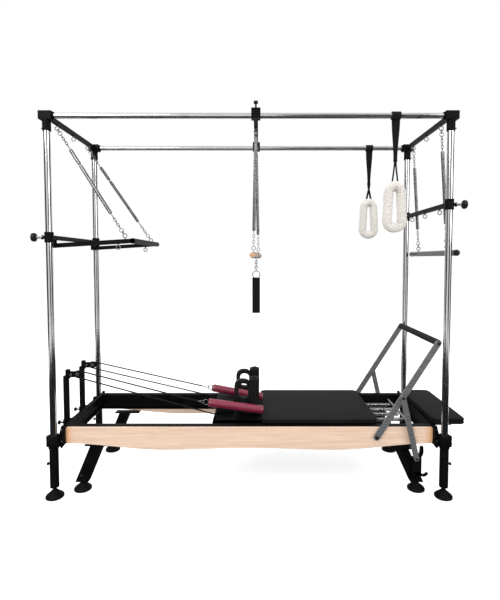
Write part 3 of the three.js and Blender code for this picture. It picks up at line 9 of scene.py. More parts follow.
import bpy
import numpy as np
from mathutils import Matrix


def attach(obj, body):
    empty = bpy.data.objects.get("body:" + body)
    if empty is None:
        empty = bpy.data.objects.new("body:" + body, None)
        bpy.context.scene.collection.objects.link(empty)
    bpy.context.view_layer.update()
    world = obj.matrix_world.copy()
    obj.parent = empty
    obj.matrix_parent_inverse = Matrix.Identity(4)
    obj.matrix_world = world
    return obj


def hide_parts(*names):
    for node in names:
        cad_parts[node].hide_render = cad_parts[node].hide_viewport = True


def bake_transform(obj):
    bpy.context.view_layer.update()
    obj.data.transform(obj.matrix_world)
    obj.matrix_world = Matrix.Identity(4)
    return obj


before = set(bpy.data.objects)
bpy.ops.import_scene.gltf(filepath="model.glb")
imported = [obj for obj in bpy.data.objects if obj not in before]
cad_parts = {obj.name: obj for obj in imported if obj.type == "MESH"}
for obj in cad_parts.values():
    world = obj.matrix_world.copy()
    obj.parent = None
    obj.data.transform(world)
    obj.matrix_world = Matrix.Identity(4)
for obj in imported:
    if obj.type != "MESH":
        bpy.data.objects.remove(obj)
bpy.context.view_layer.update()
DRAWING_SHIFT = np.array([-20.0, 0.0, 0.0])
METRES = 0.001
FRONT, BACK, HEAD, FOOT = -1, 1, -1, 1
SIDES = {"front": FRONT, "back": BACK}
ENDS = {"head": HEAD, "foot": FOOT}
X, Y, Z = np.eye(3)
TURN = 2 * math.pi
POST_X, POST_Y, TUBE_Z = 1140.0, 350.0, 2200.0


def at(x, y, z):
    """A point of the drawing as an array."""
    return np.array([x, y, z], float)


def laid(points):
    """Drawing millimetres to frame metres: shift along X, then scale."""
    return (np.asarray(points, float) + DRAWING_SHIFT) * METRES


# Camera, fitted to the photo
PICTURE_WIDTH, FOCAL, SHIFT_RIGHT, SHIFT_UP = 500, 424.13, -7.96, -20.81
SENSOR = 36.0
CAMERA_PLACE, CAMERA_DIP = (0.0318, -2.7791, 1.3918), 0.0465
camera = bpy.data.cameras.new("studio_camera")
camera.sensor_fit = "HORIZONTAL"
camera.sensor_width = SENSOR
camera.lens = FOCAL / PICTURE_WIDTH * SENSOR
camera.shift_x = SHIFT_RIGHT / PICTURE_WIDTH
camera.shift_y = SHIFT_UP / PICTURE_WIDTH
camera_object = bpy.data.objects.new("studio_camera", camera)
camera_object.location = CAMERA_PLACE
camera_object.rotation_euler = (math.pi / 2 - CAMERA_DIP, 0.0, 0.0)
bpy.context.scene.collection.objects.link(camera_object)
bpy.context.scene.camera = camera_object
bpy.context.scene.view_settings.view_transform = "Standard"


# Shapes: each is a pair of points and faces
def normalised(vectors):
    """Each vector divided by its length."""
    vectors = np.asarray(vectors, float)
    return vectors / np.linalg.norm(vectors, axis=-1, keepdims=True)


def square_to(direction):
    """Two unit vectors at right angles to a unit direction and to each other."""
    first = normalised(np.cross(Z if abs(direction[2]) < 0.9 else X, direction))
    return first, np.cross(direction, first)


def around(count):
    """Angles of a full turn, which stops one step short of its own start."""
    return np.linspace(0, TURN, count, endpoint=False)


def skin(grid, close_rows=False):
    """Points and outward faces of a grid of points, rows by columns, whose columns close round.

    Each face joins four neighbours. Rows close on themselves or end in flat caps. Faces are turned round
    if the signed volume, the sum of a.(b x c)/6 over their triangles, is negative."""
    rows, columns = grid.shape[:2]
    index = np.arange(rows * columns).reshape(rows, columns)
    low = index if close_rows else index[:-1]
    high = np.roll(index, -1, axis=0) if close_rows else index[1:]
    quads = np.stack([low, np.roll(low, -1, axis=1), np.roll(high, -1, axis=1), high], axis=-1)
    faces = quads.reshape(-1, 4).tolist()
    if not close_rows:
        faces += [index[0][::-1].tolist(), index[-1].tolist()]
    points = grid.reshape(-1, 3)
    corners = np.array([(f[0], f[i], f[i + 1]) for f in faces for i in range(1, len(f) - 1)])
    a, b, c = (points[corners[:, i]] - points[0] for i in range(3))
    if np.einsum("ij,ij->i", a, np.cross(b, c)).sum() < 0:
        faces = [f[::-1] for f in faces]
    return points, faces


def spun(profile, start, direction, sides=40, hollow=False):
    """A lathe form: for a profile of radius r and distance h, start + h d + r (cos t u + sin t v)."""
    profile = np.array(profile, float)
    d = normalised(direction)
    u, v = square_to(d)
    t = around(sides)[:, None]
    circle = np.cos(t) * u + np.sin(t) * v
    grid = start + profile[:, 1][:, None, None] * d + profile[:, 0][:, None, None] * circle
    return skin(grid, close_rows=hollow)


def rod(start, end, radius, sides=32, ease=0.8):
    """A round bar with its two rims eased by a small chamfer."""
    length = np.linalg.norm(end - start)
    profile = [(radius - ease, 0), (radius, ease), (radius, length - ease), (radius - ease, length)]
    return spun(profile, start, end - start, sides)


def pipe(start, end, radius, wall, sides=48, ease=0.5):
    """An open tube: outer and inner walls with eased ends, closed on themselves."""
    length = np.linalg.norm(end - start)
    inner = radius - wall
    profile = [(inner, 0), (radius - ease, 0), (radius, ease), (radius, length - ease),
               (radius - ease, length), (inner, length)]
    return spun(profile, start, end - start, sides, hollow=True)


def ring(centre, normal, radius, wire, steps=32, sides=10):
    """A torus: centre + (R + r cos s)(cos t u + sin t v) + r sin s n."""
    n = normalised(normal)
    u, v = square_to(n)
    t = around(steps)[:, None, None]
    s = around(sides)[None, :, None]
    out = np.cos(t) * u + np.sin(t) * v
    return skin(centre + (radius + wire * np.cos(s)) * out + wire * np.sin(s) * n, close_rows=True)


def eye_ring(centre):
    """The ring of a hanging eye."""
    return ring(centre, Y, 12, 2.9)


def link(start, direction, length, half_width, wire, plane, steps=36, sides=8):
    """A long chain link: a stadium path, from start along a direction, with a round section."""
    d = normalised(direction)
    w = normalised(np.cross(np.cross(d, plane), d))
    t = around(steps)
    along = half_width * np.cos(t) + np.sign(np.cos(t)) * (length / 2 - half_width)
    across = half_width * np.sin(t)
    path = start + (length / 2 + along)[:, None] * d + across[:, None] * w
    return carried(path, wire, np.cross(d, w), sides, closed=True)


def carried(path, radius, reference, sides=12, closed=False, section=None):
    """A section carried along a path: p + a n + b m, where m is kept near the reference direction.

    The tangent comes from neighbouring points, n = t x m. The section is a circle unless it is given."""
    if closed:
        tangent = normalised(np.roll(path, -1, axis=0) - np.roll(path, 1, axis=0))
    else:
        tangent = normalised(np.gradient(path, axis=0))
    reference = np.broadcast_to(np.asarray(reference, float), path.shape)
    m = normalised(reference - np.sum(reference * tangent, axis=1, keepdims=True) * tangent)
    n = np.cross(tangent, m)
    if section is None:
        s = around(sides)
        section = np.stack([np.cos(s), np.sin(s)], axis=1) * radius
    grid = path[:, None] + section[None, :, :1] * n[:, None] + section[None, :, 1:] * m[:, None]
    return skin(grid, close_rows=closed)


def coil(start, end, radius, wire, pitch, per_turn=12, sides=6):
    """A close wound spring: start + z(t) d + R(t)(cos t u + sin t v), eased to the axis at both ends."""
    length = np.linalg.norm(end - start)
    d = (end - start) / length
    u, v = square_to(d)
    turns = round((length - 2 * radius) / pitch)
    t = np.linspace(0, TURN * turns, turns * per_turn + 1)
    ease = np.clip(np.minimum(t, t[-1] - t) / TURN, 0, 1)
    reach = radius * (0.15 + 0.85 * np.sin(ease * math.pi / 2))
    z = radius + t / t[-1] * (length - 2 * radius)
    out = np.cos(t)[:, None] * u + np.sin(t)[:, None] * v
    path = start + z[:, None] * d + reach[:, None] * out
    path = np.vstack([start, start + d * radius * 0.5, path, end - d * radius * 0.5, end])
    reference = np.vstack([out[0], out[0], out, out[-1], out[-1]])
    return carried(path, wire, reference, sides)


def box(x0, x1, y0, y1, z0, z1):
    """A block between two corners."""
    (x0, x1), (y0, y1), (z0, z1) = sorted((x0, x1)), sorted((y0, y1)), sorted((z0, z1))
    outline = np.array([(x0, y0), (x1, y0), (x1, y1), (x0, y1)], float)
    return skin(np.stack([np.column_stack([outline, np.full(4, z)]) for z in (z0, z1)]))


def level_at(outline, y):
    """A flat outline in X and Z set at one Y."""
    return np.column_stack([outline[:, 0], np.full(len(outline), y), outline[:, 1]])


def plate(outline, y0, y1):
    """A flat outline in X and Z given a thickness along Y."""
    outline = np.asarray(outline, float)
    return skin(np.stack([level_at(outline, y) for y in (y0, y1)]))


def hollow_plate(outer, inner, y0, y1):
    """A plate with one opening: two outlines of equal count, walked the same way, joined round."""
    walls = [level_at(outline, y) for outline, y in ((outer, y0), (outer, y1), (inner, y1), (inner, y0))]
    return skin(np.stack(walls), close_rows=True)


def arc(centre, radius, start, end, steps=12):
    """Points of a circle between two angles in degrees."""
    t = np.radians(np.linspace(start, end, steps))
    return np.column_stack([centre[0] + radius * np.cos(t), centre[1] + radius * np.sin(t)])


def flat_bar(a, b, width, y0, y1):
    """A bar with half round ends between two points in X and Z."""
    turn = math.degrees(math.atan2(b[1] - a[1], b[0] - a[0]))
    outline = np.vstack([arc(b, width / 2, turn - 90, turn + 90), arc(a, width / 2, turn + 90, turn + 270)])
    return plate(outline, y0, y1)


def band(centre, radius, width, start, end, y0, y1):
    """A strip of constant width along an arc in X and Z."""
    outline = np.vstack([arc(centre, radius + width, start, end, 24), arc(centre, radius, end, start, 24)])
    return plate(outline, y0, y1)


def rounded(half_x, half_y, corner, per_corner=10, per_side=12):
    """Rim of a rounded rectangle about the origin, walked round once."""
    middles = np.array([(1, 1), (-1, 1), (-1, -1), (1, -1)]) * [half_x - corner, half_y - corner]
    parts = []
    for quarter, middle in enumerate(middles):
        curve = arc(middle, corner, 90 * quarter, 90 * quarter + 90, per_corner)
        after = middles[(quarter + 1) % 4] + curve[-1] - middle
        share = np.linspace(0, 1, per_side, endpoint=False)[1:, None]
        parts += [curve, curve[-1] + (after - curve[-1]) * share]
    return np.vstack(parts)


def rounded_outline(x0, x1, z0, z1, corner):
    """A rounded rectangle in X and Z."""
    return rounded((x1 - x0) / 2, (z1 - z0) / 2, corner, 8, 6) + [(x0 + x1) / 2, (z0 + z1) / 2]


def upholstered(x0, x1, y0, y1, bottom, top, corner, crown, roll, steps=10, rings=14, bulge=1.6, drawn=0.6):
    """A crowned pad: rims of a rounded rectangle drawn in by a quarter wave at the bottom and top edges.

    The side bulges by a half sine between its two seams, and the top falls from its middle by a power of
    the distance out to the rim."""
    middle = [(x0 + x1) / 2, (y0 + y1) / 2]
    half = np.array([(x1 - x0) / 2, (y1 - y0) / 2])
    rim = rounded(*half, corner)
    seam_low, seam_high = bottom + drawn * roll, top - crown - drawn * roll
    q = np.linspace(0, math.pi / 2, steps)
    levels = [(roll * (1 - math.sin(a)), bottom + roll * drawn * (1 - math.cos(a))) for a in q]
    levels += [(bulge * math.sin(math.pi * s), seam_low + (seam_high - seam_low) * s)
               for s in np.linspace(0, 1, 9)[1:-1]]
    levels += [(roll * (1 - math.cos(a)), top - crown - roll * drawn * (1 - math.sin(a))) for a in q]
    last = (half - roll) / half
    scales = [(last * share, bottom) for share in np.linspace(0.265, 1, 4)]
    scales += [((half - inset) / half, z) for inset, z in levels]
    scales += [(last * share, top - crown * share**2.2) for share in np.linspace(1, 0.02, rings)[1:]]
    layers = [np.column_stack([rim * scale + middle, np.full(len(rim), z)]) for scale, z in scales]
    return skin(np.stack(layers))


def seam(x0, x1, y0, y1, z, corner, radius=1.5):
    """A thin welt that runs round a rounded rectangle."""
    rim = rounded((x1 - x0) / 2, (y1 - y0) / 2, corner)
    path = np.column_stack([rim + [(x0 + x1) / 2, (y0 + y1) / 2], np.full(len(rim), z)])
    return carried(path, radius, Z, 8, closed=True)


# Finishes
def fill(tree, node, sockets):
    """A node whose sockets take plain values or links from other nodes."""
    for key, value in sockets.items():
        if isinstance(value, bpy.types.NodeSocket):
            tree.links.new(value, node.inputs[key])
        else:
            node.inputs[key].default_value = value
    return node


def added(tree, kind, sockets):
    """A new shader node of a kind with its sockets filled."""
    return fill(tree, tree.nodes.new("ShaderNode" + kind), sockets)


def calculated(tree, operation, *terms):
    """The value of a maths node on its terms."""
    node = tree.nodes.new("ShaderNodeMath")
    node.operation = operation
    return fill(tree, node, dict(enumerate(terms))).outputs["Value"]


def object_place(tree):
    """Object coordinates, in metres."""
    return tree.nodes.new("ShaderNodeTexCoord").outputs["Object"]


def grain(tree, scale, stretch=(1, 1, 1), detail=4.0, rough=0.55):
    """Noise on object coordinates, stretched along the axes."""
    mapping = added(tree, "Mapping", {"Vector": object_place(tree), "Scale": stretch})
    noise = added(tree, "TexNoise", {"Vector": mapping.outputs["Vector"], "Scale": scale, "Detail": detail,
                                     "Roughness": rough})
    return noise.outputs["Fac"]


def ramp(tree, factor, low, high, at_low=0.3, at_high=0.7):
    """A colour ramp between two colours."""
    node = added(tree, "ValToRGB", {"Fac": factor})
    for stop, place, colour in zip(node.color_ramp.elements, (at_low, at_high), (low, high)):
        stop.position = place
        stop.color = (*colour, 1.0)
    return node.outputs["Color"]


def spread(tree, factor, low, high):
    """A value carried from nought and one to low and high."""
    return added(tree, "MapRange", {"Value": factor, "To Min": low, "To Max": high}).outputs["Result"]


def raised(tree, height, distance, strength=1.0):
    """A normal bumped by a height."""
    bump = added(tree, "Bump", {"Height": height, "Distance": distance, "Strength": strength})
    return bump.outputs["Normal"]


def shader(name, colour, roughness, metallic=0.0, **sockets):
    """A new material with its shader's plain values set on their own sockets."""
    material = bpy.data.materials.new(name)
    material.use_nodes = True
    material.diffuse_color = (*colour, 1.0)
    tree = material.node_tree
    plain = {"Base Color": (*colour, 1.0), "Roughness": roughness, "Metallic": metallic}
    plain.update({socket.replace("_", " "): value for socket, value in sockets.items()})
    return material, tree, fill(tree, tree.nodes["Principled BSDF"], plain)


def clouded(name, colour, roughness, noise, low, high, haze=None, fine=None, lift=0.0, strength=1.0,
            **sockets):
    """A finish whose colour follows one noise, and its roughness too where a haze is given.

    A lift raises the surface by the same noise, or by a finer one where that is given. Each noise is the
    arguments of grain: scale, stretch, detail and roughness."""
    material, tree, surface = shader(name, colour, roughness, **sockets)
    cloud = grain(tree, *noise)
    looks = {"Base Color": ramp(tree, cloud, low, high)}
    if haze:
        looks["Roughness"] = spread(tree, cloud, *haze)
    if lift:
        looks["Normal"] = raised(tree, grain(tree, *fine) if fine else cloud, lift, strength)
    fill(tree, surface, looks)
    return material


def warmed_ends(tree, colour, reach, middle=-0.02, depth=0.055, amber=(0.78, 0.40, 0.17, 1.0)):
    """The colour turned to amber near a board's two ends, which lie at a reach from its middle."""
    along = added(tree, "SeparateXYZ", {"Vector": object_place(tree)}).outputs["X"]
    away = calculated(tree, "ABSOLUTE", calculated(tree, "ADD", along, -middle))
    near = added(tree, "MapRange", {"Value": away, "From Min": reach - depth, "From Max": reach})
    blend = tree.nodes.new("ShaderNodeMix")
    blend.data_type = "RGBA"
    return fill(tree, blend, {"Factor": near.outputs["Result"], "A": colour, "B": amber}).outputs["Result"]


def lacquered(name, low, high, stretch, ends=0.0):
    """Lacquered pale timber: long streaks of noise and finer pores that run with the board."""
    material, tree, surface = shader(name, high, 0.36, Coat_Weight=0.25, Coat_Roughness=0.2)
    streak = grain(tree, 4.0, stretch, 6.0, 0.62)
    pore = grain(tree, 40.0, stretch, 3.0)
    colour = ramp(tree, calculated(tree, "MULTIPLY_ADD", pore, 0.25, streak), low, high, 0.42, 0.8)
    if ends:
        colour = warmed_ends(tree, colour, ends)
    fill(tree, surface, {"Base Color": colour, "Normal": raised(tree, pore, 0.00008)})
    return material


def brushed(name, colour, metallic):
    """Grey metal with brush lines along its length."""
    low, high = tuple(c * 0.75 for c in colour), tuple(c * 1.3 for c in colour)
    return clouded(name, colour, 0.3, (60.0, (0.3, 4, 4), 3.0), low, high, (0.22, 0.36), metallic=metallic)


def pebbled(name):
    """Soft black cover with a pebbled grain of cells and a slight sheen."""
    material, tree, surface = shader(name, (0.007, 0.007, 0.0074), 0.6, Specular_IOR_Level=0.05)
    cell = added(tree, "TexVoronoi", {"Vector": object_place(tree), "Scale": 420.0}).outputs["Distance"]
    cloud = grain(tree, 7.0)
    fill(tree, surface, {"Base Color": ramp(tree, cloud, (0.0052, 0.0052, 0.0056), (0.0115, 0.0115, 0.012)),
                         "Roughness": spread(tree, cloud, 0.52, 0.68),
                         "Normal": raised(tree, cell, 0.0003, 0.7)})
    return material


def woven(name, low, high, scale):
    """Woven tape: slanting ribs of a wave texture."""
    material, tree, surface = shader(name, high, 0.85, Specular_IOR_Level=0.1, Sheen_Weight=0.04)
    wave = added(tree, "TexWave", {"Vector": object_place(tree), "Scale": scale, "Distortion": 0.4})
    wave.bands_direction = "DIAGONAL"
    rib = wave.outputs["Fac"]
    fill(tree, surface, {"Base Color": ramp(tree, rib, low, high, 0.2, 0.8),
                         "Normal": raised(tree, rib, 0.0004)})
    return material


EVEN = (1, 1, 1)
chrome = clouded("polished_chrome", (0.54, 0.55, 0.56), 0.13, (9.0, (1, 1, 0.3)), (0.51, 0.52, 0.53),
                 (0.62, 0.63, 0.64), (0.09, 0.2), metallic=1.0)
coat = clouded("powder_coat", (0.0045, 0.0048, 0.005), 0.5, (14.0,), (0.002, 0.0022, 0.0024),
               (0.0045, 0.0048, 0.005), (0.42, 0.58), (900.0, EVEN, 2.0), 0.00012, Specular_IOR_Level=0.07)
plastic = clouded("moulded_plastic", (0.010, 0.010, 0.011), 0.42, (30.0,), (0.005, 0.005, 0.0055),
                  (0.011, 0.011, 0.012), None, (1500.0, EVEN, 1.0), 0.0001, Specular_IOR_Level=0.2)
maple = lacquered("pale_maple", (0.66, 0.46, 0.34), (0.83, 0.61, 0.46), (0.7, 16, 16), 1.09)
end_grain = lacquered("end_grain", (0.52, 0.27, 0.11), (0.66, 0.38, 0.18), (16, 16, 3))
dowel_wood = lacquered("dowel_wood", (0.45, 0.24, 0.12), (0.60, 0.36, 0.20), (16, 0.7, 16))
grey = brushed("brushed_grey", (0.2, 0.205, 0.21), 0.5)
grey_tube = brushed("grey_tube", (0.055, 0.057, 0.06), 0.4)
bright = brushed("bright_fitting", (0.22, 0.224, 0.228), 1.0)
leather = pebbled("black_leatherette")
foam = clouded("foam_rubber", (0.014, 0.015, 0.016), 0.85, (500.0, EVEN, 3.0), (0.010, 0.011, 0.012),
               (0.022, 0.023, 0.025), lift=0.0005, Specular_IOR_Level=0.15)
wire = clouded("drawn_wire", (0.29, 0.295, 0.3), 0.3, (80.0,), (0.22, 0.224, 0.23), (0.38, 0.385, 0.39),
               (0.18, 0.34), metallic=1.0)
fleece = clouded("lambswool", (0.80, 0.77, 0.68), 0.95, (130.0, EVEN, 8.0, 0.72), (0.55, 0.51, 0.45),
                 (0.80, 0.77, 0.72), lift=0.004, strength=0.8, Sheen_Weight=0.5, Sheen_Roughness=0.6)
webbing = woven("black_webbing", (0.003, 0.003, 0.0035), (0.009, 0.009, 0.010), 260.0)
braid = woven("braided_cord", (0.003, 0.003, 0.0035), (0.012, 0.012, 0.013), 420.0)
crimson = clouded("crimson_cover", (0.17, 0.003, 0.026), 0.36, (45.0, EVEN, 5.0), (0.12, 0.002, 0.018),
                  (0.23, 0.006, 0.04), None, (800.0, EVEN, 2.0), 0.0003, Specular_IOR_Level=0.8,
                  Sheen_Weight=0.08, Sheen_Roughness=0.45)


# Pieces
def piece(name, shapes, finish, body, replaces=(), bevel=0.0, segments=2):
    """One mesh from several shapes, in frame metres, smooth where faces meet at a small angle."""
    points, faces, start = [], [], 0
    for shape_points, shape_faces in shapes:
        points.append(shape_points)
        faces += [[index + start for index in face] for face in shape_faces]
        start += len(shape_points)
    mesh = bpy.data.meshes.new(name)
    mesh.from_pydata(laid(np.vstack(points)).tolist(), [], faces)
    mesh.validate()
    mesh.polygons.foreach_set("use_smooth", np.ones(len(mesh.polygons), bool))
    mesh.set_sharp_from_angle(angle=math.radians(38))
    mesh.materials.append(finish)
    made = bpy.data.objects.new(name, mesh)
    bpy.context.scene.collection.objects.link(made)
    if bevel:
        eased = made.modifiers.new("eased_edges", "BEVEL")
        eased.width = bevel * METRES
        eased.segments = segments
        eased.limit_method = "ANGLE"
        eased.angle_limit = math.radians(40)
        eased.harden_normals = False
    if body:
        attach(made, body)
    if replaces:
        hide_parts(*replaces)
    return made


def steel(name, shapes, body, replaces=(), bevel=1.2, segments=2):
    """A powder coated piece of black steel."""
    return piece(name, shapes, coat, body, replaces, bevel, segments)


def fittings(name, shapes, body):
    """Bright bolts, eyes or hooks that stand for no solid of their own."""
    return piece(name, shapes, bright, body)


def cover(name, node, body, x, y, z, corner, crown, roll, welts=(), rings=14, welt=1.5):
    """An upholstered pad between pairs of X, Y and Z, with thin welts at their own heights."""
    shapes = [upholstered(*x, *y, *z, corner, crown, roll, rings=rings)]
    shapes += [seam(x[0] + 1, x[1] - 1, y[0] + 1, y[1] - 1, height, corner - 1, welt) for height in welts]
    piece(name, shapes, leather, body, [node])


# Tower
FIT = 0.3
BAR_HALF = 12.5
SOFFIT = TUBE_Z - BAR_HALF
EYE_DROP = 20
EYE_Y = 225
POST_RADIUS, TOP_RADIUS, WALL = 19, 16, 2


def eye_under(x, y, under, collars, eyes, over=1, sides=16):
    """A threaded shank in its collar and the ring below it."""
    collars.append(spun([(4.4, 0), (5.2, 0.8), (5.2, 3.2), (4.4, 4)], at(x, y, under - 4), Z, 6))
    eyes.append(rod(at(x, y, under - 10), at(x, y, under + over), 3.0, sides, 0.3))
    eyes.append(eye_ring(at(x, y, under - EYE_DROP)))


for side_name, side in SIDES.items():
    y = side * POST_Y
    for end_name, end in ENDS.items():
        x = end * POST_X
        name = f"post_{side_name}_{end_name}"
        post = pipe(at(x, y, 294.3), at(x, y, 2183.7), POST_RADIUS, WALL, 64)
        piece(f"{name}_tube", [post], chrome, "root", [name])
    tube = pipe(at(-1127, y, TUBE_Z), at(1127, y, TUBE_Z), TOP_RADIUS, WALL, 64)
    piece(f"top_tube_{side_name}_tube", [tube], chrome, "root", [f"top_tube_{side_name}"])

for end_name, end in ENDS.items():
    x = end * POST_X
    dark = [box(x - BAR_HALF, x + BAR_HALF, -326, 326, SOFFIT, TUBE_Z + BAR_HALF)]
    shiny = []
    for side in SIDES.values():
        y = side * POST_Y
        low = TUBE_Z - 23 - 62
        dark += [pipe(at(x, y, low), at(x, y, TUBE_Z - 20), 23.5, 4, 48, 1.2),
                 box(x - 37, x + 37, y - 25, y + 25, TUBE_Z - 23, TUBE_Z + 23),
                 pipe(at(x - end * 37, y, TUBE_Z), at(x - end * 46, y, TUBE_Z), 21, 4.5, 40, 1.0)]
        shiny.append(spun([(3.4, 0), (4, 0.6), (4, 8.4), (3.4, 9)], at(x + end * 23, y, low + 15.5),
                          end * X, 20))
    for place in (-EYE_Y, 0, EYE_Y):
        eye_under(x, place, SOFFIT, dark, shiny)
    steel(f"{end_name}_cross_bar_frame", dark, "root", [f"{end_name}_cross_bar"], 2.4, 3)
    fittings(f"{end_name}_cross_bar_eyes", shiny, "root")


# Corner legs
def levelling_foot(x, y, top):
    """Dished pad, cone and threaded stem of a levelling foot."""
    profile = [(49, 0), (51, 2), (51, 10), (49.5, 12.5), (44, 18), (34, 26), (22, 36), (14, 44), (10, 48),
               (10, top)]
    return spun(profile, at(x, y, 0), Z, 56)


SLEEVE = [(23, 60), (25, 62), (25, 292), (28, 292), (29, 293.5), (29, 368.5), (28, 370), (19.4, 370),
          (19.4, 300)]
KNOB_Z, BRACKET_LOW, BED_END = 198, 300, 1087
for side_name, side in SIDES.items():
    for end_name, end in ENDS.items():
        x, y = end * POST_X, side * POST_Y
        lug_face = x + end * 39
        dark = [levelling_foot(x, y, 62), spun(SLEEVE, at(x, y, 0), Z, 56),
                box(x + end * 24, lug_face, y - 11, y + 11, 301, 365),
                spun([(8.5, 0), (9, 1), (9, 7.5), (7.5, 9)], at(x + end * 32, y, KNOB_Z), end * X, 24),
                rod(at(x + end * 24, y, KNOB_Z), at(x + end * 33, y, KNOB_Z), 4, 16)]
        shiny = []
        for z in (316, 350):
            shiny.append(spun([(6.4, 0), (7, 0.5), (7, 4.4), (6.2, 5)], at(lug_face, y, z), end * X, 6))
            shiny.append(spun([(8.2, -0.4), (8.2, 0.8)], at(lug_face, y, z), end * X, 24))
        inside, wall = end * BED_END, x - end * 23
        middle = (inside + wall) / 2
        outline = [(wall, BRACKET_LOW), (middle, 282), (inside, BRACKET_LOW), (inside, 417), (middle, 417),
                   (wall, 360)]
        near = side * (POST_Y - 13)
        dark.append(plate(outline, near, side * (POST_Y - 25)))
        for share in (0.2, 0.8):
            z = BRACKET_LOW + share * 117
            shiny.append(spun([(5.4, 0), (6, 0.6), (6, 2.4), (5.2, 3)], at(middle, near, z), side * Y, 6))
        name = f"leg_{side_name}_{end_name}"
        steel(f"{name}_frame", dark, "root", [name])
        fittings(f"{name}_bolts", shiny, "root")


# Side rails, tracks, end beams and platform
BED_HALF = 1086.7
RAIL_TOP, RAIL_ROUND, BELLY, BELLY_X, RAIL_END = 403.0, 14, 264.0, 500, 303


def rail_under(x):
    """Soffit height: two bellies, with a shallow cosine rise between them and a smooth step to the ends."""
    t = np.clip((np.abs(x) - BELLY_X) / (BED_HALF - BELLY_X), 0, 1)
    rise = 6 * (1 + np.cos(math.pi * np.clip(np.abs(x) / BELLY_X, 0, 1)))
    return BELLY + rise + (RAIL_END - BELLY) * t * t * (3 - 2 * t)


inset = BED_HALF - RAIL_ROUND
over, under = RAIL_TOP - RAIL_ROUND, float(rail_under(BED_HALF)) + RAIL_ROUND
run = np.linspace(inset, -inset, 80)
RAIL_OUTLINE = np.vstack([
    arc((-inset, over), RAIL_ROUND, 180, 90), arc((inset, over), RAIL_ROUND, 90, 0),
    arc((inset, under), RAIL_ROUND, 0, -90), np.column_stack([run, rail_under(run)])[1:-1],
    arc((-inset, under), RAIL_ROUND, -90, -180)])
TRACK_SECTION = np.array([(310.7, 403.3), (310.7, 408.3), (274.7, 408.3), (274.7, 340), (244.7, 340),
                          (244.7, 335), (274.7, 335), (274.7, 300), (279.7, 300), (279.7, 403.3)])
for side_name, side in SIDES.items():
    rail = piece(f"rail_{side_name}_board", [plate(RAIL_OUTLINE, side * 315, side * 280)], maple, "root",
                 [f"side_rail_{side_name}"], 2.5, 3)
    rail.data.materials.append(end_grain)
    is_end = np.array([abs(face.center.x + 0.02) > 1.083 for face in rail.data.polygons])
    rail.data.polygons.foreach_set("material_index", is_end.astype(np.int32))
    grid = np.stack([np.column_stack([np.full(len(TRACK_SECTION), x), TRACK_SECTION * [side, 1]])
                     for x in (-BED_HALF, BED_HALF)])
    steel(f"track_{side_name}_rail", [skin(grid)], "root", [f"track_{side_name}"], 0.8)

for end_name, end in ENDS.items():
    web, outer, inner = end * 1102, end * 1110, end * BED_END
    top = 405.2 if end == FOOT else 405.0
    dark = [box(web, outer, -324.7, 324.7, 300, top), box(inner, outer, -324.7, 324.7, 300, 308),
            box(inner, outer, -324.7, 324.7, top - 8, top)]
    if end == FOOT:
        dark += [box(web, 1240, side * 200 - 17, side * 200 + 17, 375.2, 405.2) for side in SIDES.values()]
    steel(f"{end_name}_end_beam_channel", dark, "root", [f"{end_name}_end_beam"], 1.0)

cover("standing_platform_pad", "standing_platform", "root", (1100, 1296), (-290, 290), (405.5, 442.5),
      corner=36, crown=2, roll=11)


# Inner legs, their hooks and the strut geometry that sets them
PIVOT = np.array([753.0, 344.0])
ARM_ANGLE, ARM_LENGTH = math.radians(57.9), 662.0
FOLDED = -29.0


def reached(point, length, angle):
    """The point in X and Z at a length and an angle from another."""
    return point + length * np.array([math.cos(angle), math.sin(angle)])


def strut_ends(fold=0.0):
    """Pivot and pin of the strut, in X and Z, when the foot bar is folded by an angle in degrees."""
    top = reached(PIVOT, 280, ARM_ANGLE + math.radians(fold))
    return top, reached(top, 370, math.radians(-77 + fold * 0.21))


ROLLER = reached(PIVOT, ARM_LENGTH, ARM_ANGLE)
STRUT_TOP, STRUT_PIN = strut_ends()
LOW_PIN = strut_ends(FOLDED)[1]
SEAT = STRUT_PIN + np.array([0.0, 26.7])
FOOT_X, FOOT_Y = 1010, 265
flange_top = float(rail_under(813.5)) - FIT
for side_name, side in SIDES.items():
    hook = (side * 284, side * 299)
    for end_name, end in ENDS.items():
        y0, y1 = side * 245, side * 285
        thick = 13.2 if end == FOOT else 4.0
        flange = np.vstack([arc((813.5, flange_top - thick), thick, 270, 90, 14),
                            arc((981.5, flange_top - thick), thick, 90, -90, 14)])
        low = flange_top - 1.9 * thick
        leg = np.array([(876, low), (971, 52), (1049, 52), (954, low)])
        dark = [levelling_foot(end * FOOT_X, side * FOOT_Y, 54), plate(flange * [end, 1], y0, side * 297),
                plate(leg * [end, 1], y0, y1)]
        shiny = [spun([(6.2, 0), (7, 0.6), (7, 4.4), (6, 5)], at(end * FOOT_X, y1, 91), side * Y, 6)]
        if end == FOOT:
            for x in (835.0, 960.0):
                place = at(x, side * 297, flange_top - thick)
                shiny.append(spun([(5.6, 0), (6.4, 0.6), (6.4, 3.4), (5.6, 4)], place, side * Y, 6))
            tip = SEAT + np.array([(34, -1), (56, -1), (54, 29), (36, 29)])
            dark += [band(SEAT, 34, 22, -180, 0, *hook), plate(tip, *hook),
                     band(LOW_PIN + np.array([0, 11.0]), 18, 12, -190, -20, *hook),
                     box(990.5, LOW_PIN[0] - 18, *hook, LOW_PIN[1] - 12, LOW_PIN[1] + 12),
                     box(971, 1029.5, *hook, LOW_PIN[1] - 22, SEAT[1] - 34)]
        name = f"inner_leg_{side_name}_{end_name}"
        steel(f"{name}_frame", dark, "root", [name], 1.6)
        fittings(f"{name}_bolts", shiny, "root")


